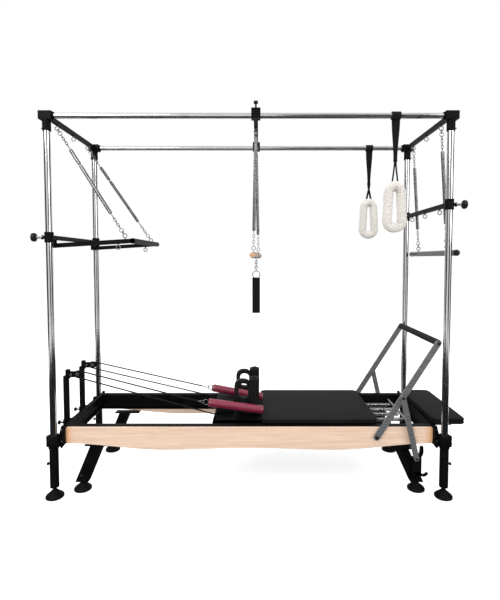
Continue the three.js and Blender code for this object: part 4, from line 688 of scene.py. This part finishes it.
# Risers, forks and pulleys
PULLEY_X, PULLEY_Y, PULLEY_Z = -1090, 120.0, 665
CLAMP_Z = 354
CHEEK = [(-1142.5, 648), (-1082, 648), (-1068, 653), (-1062, 665), (-1068, 677), (-1082, 682), (-1142.5, 682)]
GROOVE = [(4.3, -5.5), (23.4, -5.5), (24, -5), (24, -4.2)]
GROOVE += [(24 - 6 * math.cos(a), 4.1 * math.sin(a)) for a in np.radians(np.linspace(-80, 80, 17))]
GROOVE += [(24, 4.2), (24, 5), (23.4, 5.5), (4.3, 5.5)]
for side_name, side in SIDES.items():
    y = side * PULLEY_Y
    dark = [box(-1179, -1151, y - 14, y + 14, 318, 655), box(-1183, -1110.4, y - 18, y + 18, 330, 378),
            rod(at(-1165, y, CLAMP_Z), at(-1210, y, CLAMP_Z), 5, 20),
            spun([(11, 0), (13, 1.5), (13, 10), (11, 12), (5, 12.6)], at(-1209, y, CLAMP_Z), -X, 24),
            box(-1165, -1142, y - 12, y + 12, 637, 695)]
    bolt = [rod(at(PULLEY_X, y - 12, PULLEY_Z), at(PULLEY_X, y + 12, PULLEY_Z), 4, 20)]
    for step in (-1, 1):
        dark.append(plate(CHEEK, y + step * 9, y + step * 12))
        for x, radius in ((PULLEY_X, 12.0), (-1130, 8.0)):
            bolt.append(spun([(radius - 0.8, 0), (radius, 0.8), (radius, 3), (radius - 1, 3.8)],
                             at(x, y + step * 12, PULLEY_Z), step * Y, 24))
    steel(f"riser_{side_name}_frame", dark, "root", [f"riser_{side_name}"], 1.4)
    fittings(f"riser_{side_name}_bolt", bolt, "root")
    piece(f"pulley_{side_name}_wheel", [spun(GROOVE, at(PULLEY_X, y, PULLEY_Z), Y, 64, hollow=True)], plastic,
          f"sheave_{side_name}", [f"pulley_{side_name}"])


# Carriage frame and wheels
AXLE_Z, SKIRT_LOW, DECK_LOW, DECK_TOP = 362.3, 350, 395.5, 410.5
AXLES = {"head": -150.0, "foot": 660.0}
POST_PLACE, ROPE_Y = -215, 160
dark = [box(-225, 765, -243, 243, DECK_LOW, DECK_TOP)]
shiny = []
for side in SIDES.values():
    dark.append(box(-225, 765, side * 227, side * 243, SKIRT_LOW, DECK_TOP))
    dark += [spun([(12, 0), (13, 0.8), (13, 4), (12, 5)], at(x, side * 227, AXLE_Z), -side * Y, 24)
             for x in AXLES.values()]
    shiny.append(rod(at(POST_PLACE, side * ROPE_Y, 409), at(POST_PLACE, side * ROPE_Y, 432), 4, 20))
    shiny.append(spun([(5.5, 0), (6, 0.6), (6, 2.4), (5.5, 3)], at(POST_PLACE, side * ROPE_Y, 429.2), Z, 20))
for x in (-225, 749):
    dark.append(box(x, x + 16, -243, 243, SKIRT_LOW, DECK_TOP))
steel("carriage_frame_shell", dark, "carriage", ["carriage_frame"])
fittings("carriage_frame_posts", shiny, "carriage")
TYRE = [(0, 0), (20.5, 0), (22, 1.6), (22, 23.1), (20.5, 24.7), (0, 24.7)]
for end_name, x in AXLES.items():
    shapes = [rod(at(x, -267, AXLE_Z), at(x, 267, AXLE_Z), 6, 24)]
    shapes += [spun(TYRE, at(x, side * 243.3, AXLE_Z), side * Y, 48) for side in SIDES.values()]
    piece(f"wheel_axle_{end_name}_set", shapes, plastic, f"axle_{end_name}", [f"wheel_axle_{end_name}"])


# Carriage pad, headrest and shoulder rests
cover("carriage_pad_cover", "carriage_pad", "carriage", (70, 770), (-290, 290), (411, 442.5), 34, 4, 10,
      (418, 431.5))
cover("headrest_cover", "headrest", "carriage", (-222, -104), (-110, 110), (411, 475), 24, 4, 9,
      (417.5, 464.5), rings=8)
for side_name, side in SIDES.items():
    y = side * 120.0
    name = f"shoulder_rest_{side_name}"
    cover(f"{name}_pad", name, "carriage", (-5, 61), (y - 42, y + 42), (411, 654), 20, 9, 15, (420, 636),
          rings=8, welt=1.3)
    outer, inner = rounded_outline(-98, 8, 411, 638, 46), rounded_outline(-71, -10, 523, 606, 26)
    loop = hollow_plate(outer, inner, y - 13, y + 13)
    piece(f"{name}_loop", [loop], plastic, "carriage", bevel=9.0, segments=6)


# Carriage springs on their bar
SPRING_Z = 380
spring_bar = [rod(at(990, -274, SPRING_Z), at(990, 274, SPRING_Z), 8, 32)]
piece("carriage_springs_bar", spring_bar, wire, "root", ["carriage_springs"])
for number, y in enumerate((-135.0, -45.0, 45.0, 135.0), 1):
    near, far = at(765.4, y, SPRING_Z), at(982, y, SPRING_Z)
    spring = piece(f"carriage_spring_{number}_coil", [coil(near, far, 10, 1.5, 3.6, 14, 8)], wire, None)
    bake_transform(spring)


# Foot bar with its roller and struts
def beside(point, y):
    """A point in X and Z set at one Y."""
    return at(point[0], y, point[1])


arms = [rod(beside(ROLLER, -328), beside(ROLLER, 328), 10, 40)]
shiny = []
for side in SIDES.values():
    arms.append(flat_bar(PIVOT, ROLLER, 36, side * 320, side * 328))
    arms.append(rod(beside(PIVOT, side * 315.3), beside(PIVOT, side * 321), 12, 32))
    pivot_face, roller_face = beside(PIVOT, side * 328), beside(ROLLER, side * 328)
    shiny.append(spun([(9, 0), (10, 0.8), (10, 3.4), (8.6, 4.6)], pivot_face, side * Y, 6))
    shiny.append(spun([(12.4, -0.2), (12.4, 0.9)], pivot_face, side * Y, 32))
    shiny.append(spun([(9, 0), (10, 0.8), (10, 2.6), (8.6, 3.4)], roller_face, side * Y, 32))
piece("foot_bar_arms", arms, grey, "foot_rest", ["foot_bar"], 1.2)
fittings("foot_bar_bolts", shiny, "foot_rest")
piece("foot_roller_foam", [pipe(beside(ROLLER, -319.7), beside(ROLLER, 319.7), 20, 9.7, 64, 2.5)], foam,
      "foot_rest", ["foot_roller"])
for side_name, side in SIDES.items():
    strut = [flat_bar(STRUT_TOP, STRUT_PIN, 32, side * 330, side * 338),
             rod(beside(STRUT_PIN, side * 300.5), beside(STRUT_PIN, side * 331), 7, 28)]
    shiny = [rod(beside(STRUT_TOP, side * 328.4), beside(STRUT_TOP, side * 338.5), 7, 28),
             spun([(8.4, 0), (9.4, 0.8), (9.4, 3.6), (8, 5)], beside(STRUT_TOP, side * 338), side * Y, 6),
             spun([(7, 0), (8, 0.8), (8, 3), (6.6, 4)], beside(STRUT_PIN, side * 338), side * Y, 32)]
    name = f"foot_strut_{side_name}"
    piece(f"{name}_plate", strut, grey, "struts", [name], 1.0)
    fittings(f"{name}_bolts", shiny, "struts")


# Sliding cross bars with their blocks, and the pull pins
def slider(name, end, height, body, ring_places):
    """A square bar between two bored blocks, with a collar for the pin on the front one."""
    x = end * POST_X
    dark = [box(x - BAR_HALF, x + BAR_HALF, -327.5, 327.5, height - BAR_HALF, height + BAR_HALF)]
    for side in SIDES.values():
        bore = [(19.5, -30), (24, -30), (25, -28.8), (25, 28.8), (24, 30), (19.5, 30)]
        dark.append(spun(bore, at(x, side * POST_Y, height), Z, 64, hollow=True))
    dark.append(pipe(at(x + end * 21, -POST_Y, height), at(x + end * 34, -POST_Y, height), 9, 3.4, 32, 0.8))
    shiny = []
    for place in ring_places:
        eye_under(x, place, height - BAR_HALF, dark, shiny)
    steel(f"{name}_frame", dark, body, [name])
    if shiny:
        fittings(f"{name}_eyes", shiny, body)


def pull_pin(name, end, height, body):
    """A sprung plunger: rod, disc and a round turned knob."""
    x, y = end * POST_X, -POST_Y
    shank = [spun([(5.8, 0), (6.8, 1), (6.8, 80), (5.8, 81)], at(x + end * 19.8, y, height), end * X, 28),
             spun([(12, 0), (13, 0.8), (13, 6.7), (12, 7.4)], at(x + end * 34.7, y, height), end * X, 36)]
    knob = [spun([(8, 0), (12, 1), (22, 5), (25, 10), (25, 18), (23, 24), (18, 27), (8, 28)],
                 at(x + end * 72, y, height), end * X, 56)]
    piece(f"{name}_knob", knob, plastic, body, [name])
    fittings(f"{name}_rod", shank, body)


PUSH_HEIGHT, ROLL_HEIGHT = 1518.0, 1704.0
slider("push_slider", HEAD, PUSH_HEIGHT, "push_carrier", [])
slider("roll_slider", FOOT, ROLL_HEIGHT, "roll_carrier", [-EYE_Y, 0, EYE_Y])
pull_pin("push_pull_pin", HEAD, PUSH_HEIGHT, "push_pin")
pull_pin("roll_pull_pin", FOOT, ROLL_HEIGHT, "roll_pin")


# Push-through bar with a ring above and a ring below each arm
PUSH_TURN = math.radians(3.5)
PUSH_PIVOT = np.array([-1140.0, 1472.0])
PUSH_END = reached(PUSH_PIVOT, 462, PUSH_TURN)
EYE_BACK, LOW_EYE_BACK = 44, 84


def push_level(back):
    """Height of the arm's middle line at a distance back from the handle."""
    return PUSH_END[1] - back * math.sin(PUSH_TURN)


PUSH_EYE = np.array([PUSH_END[0] - EYE_BACK, push_level(EYE_BACK) + 13 + EYE_DROP])
hanger, bolts = [], []
dark = [rod(beside(PUSH_END, -306), beside(PUSH_END, 306), 16, 64, 2.0)]
shiny = []
for side in SIDES.values():
    hanger.append(box(-1152.5, -1127.5, side * 281.7, side * 293.7, 1459.5, PUSH_HEIGHT))
    bolts.append(rod(beside(PUSH_PIVOT, side * 285), beside(PUSH_PIVOT, side * 308), 4, 24))
    bolts.append(spun([(7, 0), (8, 0.7), (8, 3.2), (6.8, 4)], beside(PUSH_PIVOT, side * 306.3), side * Y, 6))
    y = side * 300.0
    dark.append(flat_bar(PUSH_PIVOT, PUSH_END, 26, y - 6, y + 6))
    eye_x, eye_z = PUSH_EYE
    shiny.append(rod(at(eye_x, y, push_level(EYE_BACK)), at(eye_x, y, eye_z - 11), 3, 20, 0.3))
    shiny.append(eye_ring(beside(PUSH_EYE, y)))
    eye_under(PUSH_END[0] - LOW_EYE_BACK, y, push_level(LOW_EYE_BACK) - 13, dark, shiny, 2, 20)
steel("push_slider_hangers", hanger, "push_carrier")
fittings("push_slider_bolts", bolts, "push_carrier")
steel("push_bar_arms", dark, "push_arm", ["push_bar"], 1.4)
fittings("push_bar_eyes", shiny, "push_arm")


# Long springs: links in each eye, a ring, a hooked shank and a close wound coil between
TOP_FIRST, LOW_FIRST = 7.1, 9.3
ROLL_X, ROLL_Z, ROLL_EYE_Z = 1186, 1430, 1467


def chain(start, direction, reach, first):
    """Links and a ring from an eye to the coil's end, and the shank after them."""
    d = normalised(direction)
    across = normalised(np.cross(d, Y))
    shapes = [link(start + first * d, d, 22.4, 7.0, 2.2, Y)]
    used = first + 18
    if reach - used > 22:
        shapes.append(ring(start + (used + 9.8) * d, Y, 12, 2.2))
        used += 21.8
    while reach - used > 26:
        plane = across if len(shapes) % 2 else Y
        shapes.append(link(start + (used - 2.2) * d, d, 22, 6.0, 2.0, plane))
        used += 17.4
    if reach - used > 2:
        shapes.append(rod(start + (used - 1) * d, start + (reach + 3) * d, 2.2, 16, 0.3))
        shapes.append(link(start + (used - 2.2) * d, d, max(reach - used, 14), 4.6, 1.8, Y))
    return shapes


def wound(start, end):
    """The close wound coil of a long spring."""
    return coil(start, end, 9, 2.05, 4.3)


def long_spring(top, bottom, top_reach, bottom_reach, low_first=LOW_FIRST):
    """Upper chain, coil and lower chain between two eyes."""
    d = normalised(bottom - top)
    body = wound(top + (top_reach - 2) * d, bottom - (bottom_reach - 2) * d)
    return [*chain(top, d, top_reach, TOP_FIRST), body, *chain(bottom, -d, bottom_reach, low_first)]


for side_name, side in SIDES.items():
    top, bottom = at(-POST_X, side * EYE_Y, SOFFIT - EYE_DROP), beside(PUSH_EYE, side * 300)
    d = normalised(bottom - top)
    split = top + (145 + (np.linalg.norm(bottom - top) - 294) * 0.25) * d
    upper = [*chain(top, d, 145, TOP_FIRST), wound(top + 143 * d, split + 6 * d)]
    lower = [*chain(bottom, -d, 149, LOW_FIRST), wound(split - 6 * d, bottom - 147 * d)]
    name = f"push_spring_{side_name}"
    first = piece(f"{name}_upper", upper, wire, None)
    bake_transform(first)
    second = piece(f"{name}_lower", lower, wire, None, [name])
    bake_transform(second)

    top, bottom = at(POST_X, side * EYE_Y, SOFFIT - EYE_DROP), at(ROLL_X, side * EYE_Y, ROLL_EYE_Z)
    name = f"roll_spring_{side_name}"
    spring = piece(f"{name}_coil", long_spring(top, bottom, 127, 128), wire, None, [name])
    d = normalised(bottom - top)
    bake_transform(spring)


# Roll-down bar
piece("roll_bar_tube", [rod(at(ROLL_X, -350, ROLL_Z), at(ROLL_X, 350, ROLL_Z), 17, 64, 1.0)], grey_tube,
      "roll_handle", ["roll_bar"])
caps, shiny = [], []
for side in SIDES.values():
    caps.append(spun([(17.2, 0), (18, 0.8), (18, 10), (15.5, 12), (4, 12.4)], at(ROLL_X, side * 346, ROLL_Z),
                     side * Y, 64))
    y = side * EYE_Y
    shiny.append(rod(at(ROLL_X, y, ROLL_Z), at(ROLL_X, y, 1456.5), 3, 20, 0.3))
    shiny.append(eye_ring(at(ROLL_X, y, ROLL_EYE_Z)))
    shiny.append(spun([(5.2, 0), (6, 0.6), (6, 3.4), (5, 4)], at(ROLL_X, y, 1445), Z, 6))
piece("roll_bar_caps", caps, plastic, "roll_handle")
fittings("roll_bar_eyes", shiny, "roll_handle")


# Trapeze slider, springs and dowel
TRAPEZE_X, TRAPEZE_Y, SADDLE_LOW = 40, 200, 2181
dark = [box(TRAPEZE_X - BAR_HALF, TRAPEZE_X + BAR_HALF, -326, 326, SADDLE_LOW, SADDLE_LOW + 25)]
shiny = []
for side in SIDES.values():
    y = side * POST_Y
    for y0, y1, z0, z1 in ((y - 25, y + 25, 2214.5, 2238), (y - 25, y + 25, SADDLE_LOW, 2184.5),
                           (y + side * 17, y + side * 25, 2184.5, 2214.5),
                           (y - side * 25, y - side * 17, 2184.5, 2214.5)):
        dark.append(box(TRAPEZE_X - 26, TRAPEZE_X + 26, y0, y1, z0, z1))
    eye_under(TRAPEZE_X, side * TRAPEZE_Y, SADDLE_LOW, dark, shiny)
dark.append(rod(at(TRAPEZE_X, -POST_Y, 2237), at(TRAPEZE_X, -POST_Y, 2272), 5, 24))
steel("trapeze_slider_frame", dark, "trapeze_carrier", ["trapeze_slider"], 1.6)
fittings("trapeze_slider_eyes", shiny, "trapeze_carrier")
knob = spun([(7, 0), (9, 1.5), (9, 22.5), (7, 24)], at(28, -POST_Y, 2275), X, 40)
piece("trapeze_slider_knob", [knob], plastic, "trapeze_carrier")
YAW = math.radians(4.5)
BAR = np.array([math.sin(YAW), math.cos(YAW), 0.0])
BAR_MIDDLE = at(TRAPEZE_X, 0, 1418)
for side_name, side in SIDES.items():
    top = at(TRAPEZE_X, side * TRAPEZE_Y, SADDLE_LOW - EYE_DROP)
    bottom = BAR_MIDDLE + side * TRAPEZE_Y * BAR
    shapes = [*long_spring(top, bottom, 26, 139, 15.3), ring(bottom, BAR, 17.5, 2.2, 48)]
    name = f"trapeze_spring_{side_name}"
    spring = piece(f"{name}_coil", shapes, wire, None, [name])
    d = normalised(bottom - top)
    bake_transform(spring)
profile = [(12, 0), (13.6, 0.8), (14.6, 1.9), (15, 3.6), (15, 596.4), (14.6, 598.1), (13.6, 599.2), (12, 600)]
dowel = spun(profile, BAR_MIDDLE - 300 * BAR, BAR, 64)
piece("trapeze_bar_dowel", [dowel], dowel_wood, "trapeze_handle", ["trapeze_bar"])


# Strap under the dowel: band, chain, ring and a folded webbing loop that faces the front
def boxed(count):
    """Cosines and sines of a turn, pushed outward so that they walk round a rectangle with soft corners."""
    t = around(count)
    return [np.sign(wave) * np.abs(wave)**0.35 for wave in (np.cos(t), np.sin(t))]


shiny = [ring(BAR_MIDDLE, BAR, 17.8, 2.5, 48)]
first = 1418 - 17.8 - 9
for number in range(5):
    plane = X if number % 2 else Y
    shiny.append(link(at(TRAPEZE_X, 0, first + 11.5 - number * 16), -Z, 23, 7.2, 2.5, plane))
shiny.append(ring(at(TRAPEZE_X, 0, 1293), Y, 24, 2.5, 64, 14))
piece("trapeze_strap_chain", shiny, wire, "strap")

HALF_GAP, STRAP_LOW, STRAP_HIGH = 10.5, 1053.0, 1261.0
run = np.linspace(0, 1, 30)[1:-1]
bend = np.radians(np.linspace(0, 180, 15))
bow = 2.0 * np.sin(math.pi * run)
y_path = np.concatenate([HALF_GAP * np.cos(bend), -HALF_GAP - bow, -HALF_GAP * np.cos(bend), HALF_GAP + bow])
z_path = np.concatenate([STRAP_HIGH + HALF_GAP * np.sin(bend), STRAP_HIGH + (STRAP_LOW - STRAP_HIGH) * run,
                         STRAP_LOW - HALF_GAP * np.sin(bend), STRAP_LOW + (STRAP_HIGH - STRAP_LOW) * run])
path = np.column_stack([np.full(len(y_path), float(TRAPEZE_X)), y_path, z_path])
wide, thick = boxed(20)
tape = np.column_stack([thick * 2.4, wide * 25])
shapes = [carried(path, 1.0, X, closed=True, section=tape)]
shapes += [box(TRAPEZE_X - 22, TRAPEZE_X + 22, -14.4, 14.4, z, z + 0.8) for z in (1238.0, 1232.0)]
piece("trapeze_strap_webbing", shapes, webbing, "strap", ["trapeze_strap"])


# Fleece loops: a stadium of fleece on webbing that tapers to a neck and splits into two tails
def fleece_ring(x, y, seed):
    """A tube round a stadium path, its skin lifted by sums of sines as clumps of curl.

    The lift is a(sin(k1 s + p1) sin(m1 t + q1) + ...) over distance s along the path and angle t round it."""
    rng = np.random.default_rng(seed)
    half, low, high, across, depth = 40.5, 1612.0, 1768.0, 26.0, 27.0
    t = np.radians(np.linspace(0, 180, 61))
    straight = high + (low - high) * np.linspace(0, 1, 50)[1:-1]
    flat, still = np.ones(48), np.zeros(48)
    spine = np.vstack([np.column_stack([half * np.cos(t), high + half * np.sin(t), np.cos(t), np.sin(t)]),
                       np.column_stack([-half * flat, straight, -flat, still]),
                       np.column_stack([-half * np.cos(t), low - half * np.sin(t), -np.cos(t), -np.sin(t)]),
                       np.column_stack([half * flat, straight[::-1], flat, still])])
    s = around(len(spine))[:, None]
    k = around(72)[None, :]
    lift = np.zeros((len(spine), 72))
    for _ in range(26):
        along, about, weight = rng.integers(4, 60), rng.integers(1, 16), rng.uniform(0.15, 0.55)
        lift += weight * np.sin(along * s + rng.uniform(0, 6.28)) * np.sin(about * k + rng.uniform(0, 6.28))
    lift = 1.35 * (lift + rng.normal(0, 0.34, lift.shape))
    out = np.cos(k) * (across + lift)
    rise = (spine[:, 1:2] - low + half) / (high - low + 2 * half)
    px = x + spine[:, :1] * (1.12 - 0.3 * rise) + out * spine[:, 2:3]
    pz = spine[:, 1:2] + out * spine[:, 3:4]
    py = y + np.sin(k) * (depth + lift)
    return skin(np.stack([px, py, pz], axis=-1), close_rows=True)


def tape_strip(points, widths, y_shift):
    """A flat strip in X and Z through points, with its own width and Y at each."""
    wide, thick = boxed(16)
    direction = normalised(np.gradient(points, axis=0))
    normal = np.column_stack([direction[:, 1], -direction[:, 0]])
    flat = points[:, None] + wide[None, :, None] * (widths[:, None] / 2)[:, :, None] * normal[:, None]
    depth = y_shift[:, None] + thick[None] * 1.5
    return skin(np.stack([flat[..., 0], depth, flat[..., 1]], axis=-1))


HITCH = [(17.2, 0), (23, 0.6), (23.4, 3), (23.4, 47), (23, 49.4), (17.2, 50)]
share = np.linspace(0, 1, 30)
smooth = share * share * (3 - 2 * share)
for side_name, x, seed, tails, tail_width in (("front", 829.0, 3, 4 + 12 * smooth, 9.0),
                                              ("back", 862.0, 8, 6 - 22 * smooth, 14.0)):
    y = SIDES[side_name] * POST_Y
    body = f"fleece_{side_name}"
    name = f"loop_{side_name}"
    loop = piece(f"{name}_fleece", [fleece_ring(x, y, seed)], fleece, body, [name])
    drop = np.column_stack([np.full(30, x), 2182 + (1949 - 2182) * share])
    shapes = [spun(HITCH, at(x - 25, y, TUBE_Z), X, 48, hollow=True),
              tape_strip(drop, 48 - 26 * smooth, np.full(30, y)),
              box(x - 11, x + 11, y - 3, y + 3, 1944, 1953)]
    for step in (-1, 1):
        tail = np.column_stack([x + step * tails, 1952 + (1806 - 1952) * share])
        shapes.append(tape_strip(tail, np.full(30, tail_width), np.full(30, y + step * 1.8)))
    piece(f"{name}_webbing", shapes, webbing, body)


# Handles parked on the carriage, and the ropes that run from them round the pulleys
def rope_path(side, hook_end, along, reach=21.3):
    """Points from the snap hook over the pulley and back under it to the post on the carriage."""
    rope_end = hook_end + 0.3 * along
    start = rope_end + 12 * along
    post_face = at(-219.3, side * ROPE_Y, 425)
    finish = post_face - 12 * X

    def tangent(point, sign):
        """The angle on the pulley where a straight run from a point touches it."""
        away = point[[0, 2]] - np.array([PULLEY_X, PULLEY_Z])
        return math.atan2(away[1], away[0]) + sign * math.acos(reach / np.hypot(*away))

    def on_sheave(angle):
        """A point of the pulley's groove."""
        return at(PULLEY_X + reach * math.cos(angle), side * PULLEY_Y, PULLEY_Z + reach * math.sin(angle))

    def leave(point, target):
        """The end of a short run in the pulley's plane towards a target."""
        return point + normalised((target - point) * np.array([1, 0, 1])) * 45

    def eased(a, b, count=60):
        """Evenly spaced points between two."""
        return a + (b - a) * np.linspace(0, 1, count)[:, None]

    top, bottom = tangent(start, 1), tangent(finish, -1) + TURN
    first, last = leave(on_sheave(top), start), leave(on_sheave(bottom), finish)
    wrap = np.array([on_sheave(angle) for angle in np.linspace(top, bottom, 40)])
    return np.vstack([rope_end[None], eased(start, first), eased(first, wrap[0], 6)[1:-1], wrap,
                      eased(wrap[-1], last, 6)[1:], eased(last, finish)[1:], post_face[None]])


def snap_hook(start, along, length):
    """Eye, turned body and end ring of a small snap hook."""
    side = normalised(np.cross(along, Y))
    barrel = [(1.8, 0), (2.6, 0.6), (3.6, 3), (3.6, 7), (2.6, 9.4), (1.8, 10)]
    return [link(start - 2.6 * along, along, 24, 6.5, 1.9, side), spun(barrel, start + 18 * along, along, 24),
            ring(start + (length - 7) * along, side, 5.4, 1.7, 32, 10)]


HOOK_LENGTH = 40
for side_name, head_point, foot_point in (("front", at(-255, -200, 511), at(85, -200, 464)),
                                          ("back", at(-255, 50, 526), at(85, 50, 464))):
    side = SIDES[side_name]
    along = normalised(head_point - foot_point)
    length = np.linalg.norm(head_point - foot_point)
    profile = [(6, 0), (18, 0.8), (22.5, 3), (24.6, 7.5), (24.9, 20)]
    profile += [(24.9 - 0.5 * math.sin(math.pi * s)**2, 20 + (length - 40) * s)
                for s in np.linspace(0, 1, 24)[1:-1]]
    profile += [(24.9, length - 20), (24.6, length - 7.5), (22.5, length - 3), (18, length - 0.8),
                (6, length)]
    handle = piece(f"handle_{side_name}_grip", [spun(profile, foot_point, along, 64)], crimson, "carriage",
                   [f"handle_{side_name}"])
    hook_start = head_point + 25.6 * along
    shiny = [link(head_point - 2 * along, along, 32.5, 15.9, 2.6, Z, 64),
             *snap_hook(hook_start, along, HOOK_LENGTH)]
    fittings(f"handle_{side_name}_hook", shiny, "carriage")
    tab = [rod(head_point - 2 * along, head_point + 3 * along, 17, 36, 1.0)]
    piece(f"handle_{side_name}_tab", tab, webbing, "carriage")
    path = rope_path(side, hook_start + HOOK_LENGTH * along, along)
    cord = carried(path, 4.2, Y, 12)
    rope = piece(f"rope_{side_name}_cord", [cord], braid, None, [f"rope_{side_name}"])
    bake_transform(rope)


# Studio: floor with a soft shadow, white surround and large lamps
def seen_directly(tree):
    """One for rays from the camera, off gloss or through glass, nought for the light on the object."""
    ray = tree.nodes.new("ShaderNodeLightPath").outputs
    either = calculated(tree, "MAXIMUM", ray["Is Camera Ray"], ray["Is Glossy Ray"])
    return calculated(tree, "MAXIMUM", either, ray["Is Transmission Ray"])


def sheet(name, corners, material):
    """A flat sheet of the studio between four corners."""
    mesh = bpy.data.meshes.new(name)
    mesh.from_pydata(corners, [], [(0, 1, 2, 3)])
    mesh.materials.append(material)
    made = bpy.data.objects.new(name, mesh)
    bpy.context.scene.collection.objects.link(made)
    return made


def standing(x0, y0, x1, y1, low=-0.5, high=6.0):
    """Corners of an upright card between two places on the floor."""
    return [(x0, y0, low), (x1, y1, low), (x1, y1, high), (x0, y0, high)]


def lying(x0, x1, y0, y1, z):
    """Corners of a level card."""
    return [(x0, y0, z), (x1, y0, z), (x1, y1, z), (x0, y1, z)]


# A pale floor takes the shadow; what is seen directly has a glow added, so that it ends in white
WHITE = (1.0, 1.0, 1.0, 1.0)
pale, tree, surface = shader("studio_floor", (0.6, 0.6, 0.6), 0.9, Specular_IOR_Level=0.1,
                             Emission_Color=WHITE)
pale.diffuse_color = WHITE
fill(tree, surface, {"Emission Strength": calculated(tree, "MULTIPLY", seen_directly(tree), 0.68)})
floor = sheet("studio_floor", lying(-30, 30, -30, 30, 0), pale)

LAMPS = (("key_lamp", (-3.2, -4.2, 4.6), 3.0, 210.0, True), ("fill_lamp", (4.2, -3.6, 3.2), 3.2, 110.0, True),
         ("top_lamp", (0.0, 0.4, 5.4), 4.0, 120.0, False), ("back_lamp", (-0.6, 4.8, 3.8), 3.0, 70.0, False))
LAMP_AIM = np.array([0.0, 0.0, 0.9])
for name, place, size, power, in_gloss in LAMPS:
    lamp = bpy.data.lights.new(name, "AREA")
    lamp.size = size
    lamp.energy = power
    lamp_object = bpy.data.objects.new(name, lamp)
    lamp_object.location = place
    lamp_object.visible_glossy = in_gloss
    aim = LAMP_AIM - np.array(place)
    tilt, turn = math.atan2(np.hypot(aim[0], aim[1]), -aim[2]), math.atan2(-aim[0], aim[1])
    lamp_object.rotation_euler = (tilt, 0.0, turn)
    bpy.context.scene.collection.objects.link(lamp_object)

world = bpy.data.worlds.new("studio_world")
bpy.context.scene.world = world
world.use_nodes = True
tree = world.node_tree
tree.nodes.clear()
soft = added(tree, "Background", {"Color": (0.93, 0.94, 0.96, 1.0), "Strength": 0.75})
seen = added(tree, "Background", {"Color": WHITE, "Strength": 1.0})
choice = added(tree, "MixShader", {"Fac": seen_directly(tree), 1: soft.outputs["Background"],
                                   2: seen.outputs["Background"]})
added(tree, "OutputWorld", {"Surface": choice.outputs["Shader"]})

# Dark cards that only bright metal shows draw the long dark lines of a chromed tube
CARDS = (standing(-6.0, 0.4, -4.6, -4.6), standing(5.8, -2.4, 4.9, 3.4), standing(-5.4, 3.0, -3.6, 5.4),
         standing(4.6, -5.6, 0.5, -6.5), lying(-4.0, 4.0, -4.6, 0.2, 0.01), lying(-4.0, 4.0, 0.9, 3.4, 0.01),
         lying(-4.0, 4.0, 2.6, 4.4, 4.6))
dull = shader("dark_card", (0.012, 0.012, 0.013), 1.0, Specular_IOR_Level=0.0)[0]
cards = [sheet(f"dark_card_{number}", corners, dull) for number, corners in enumerate(CARDS, 1)]
for card in cards:
    card.visible_camera = False
    card.visible_diffuse = False
    card.visible_shadow = False
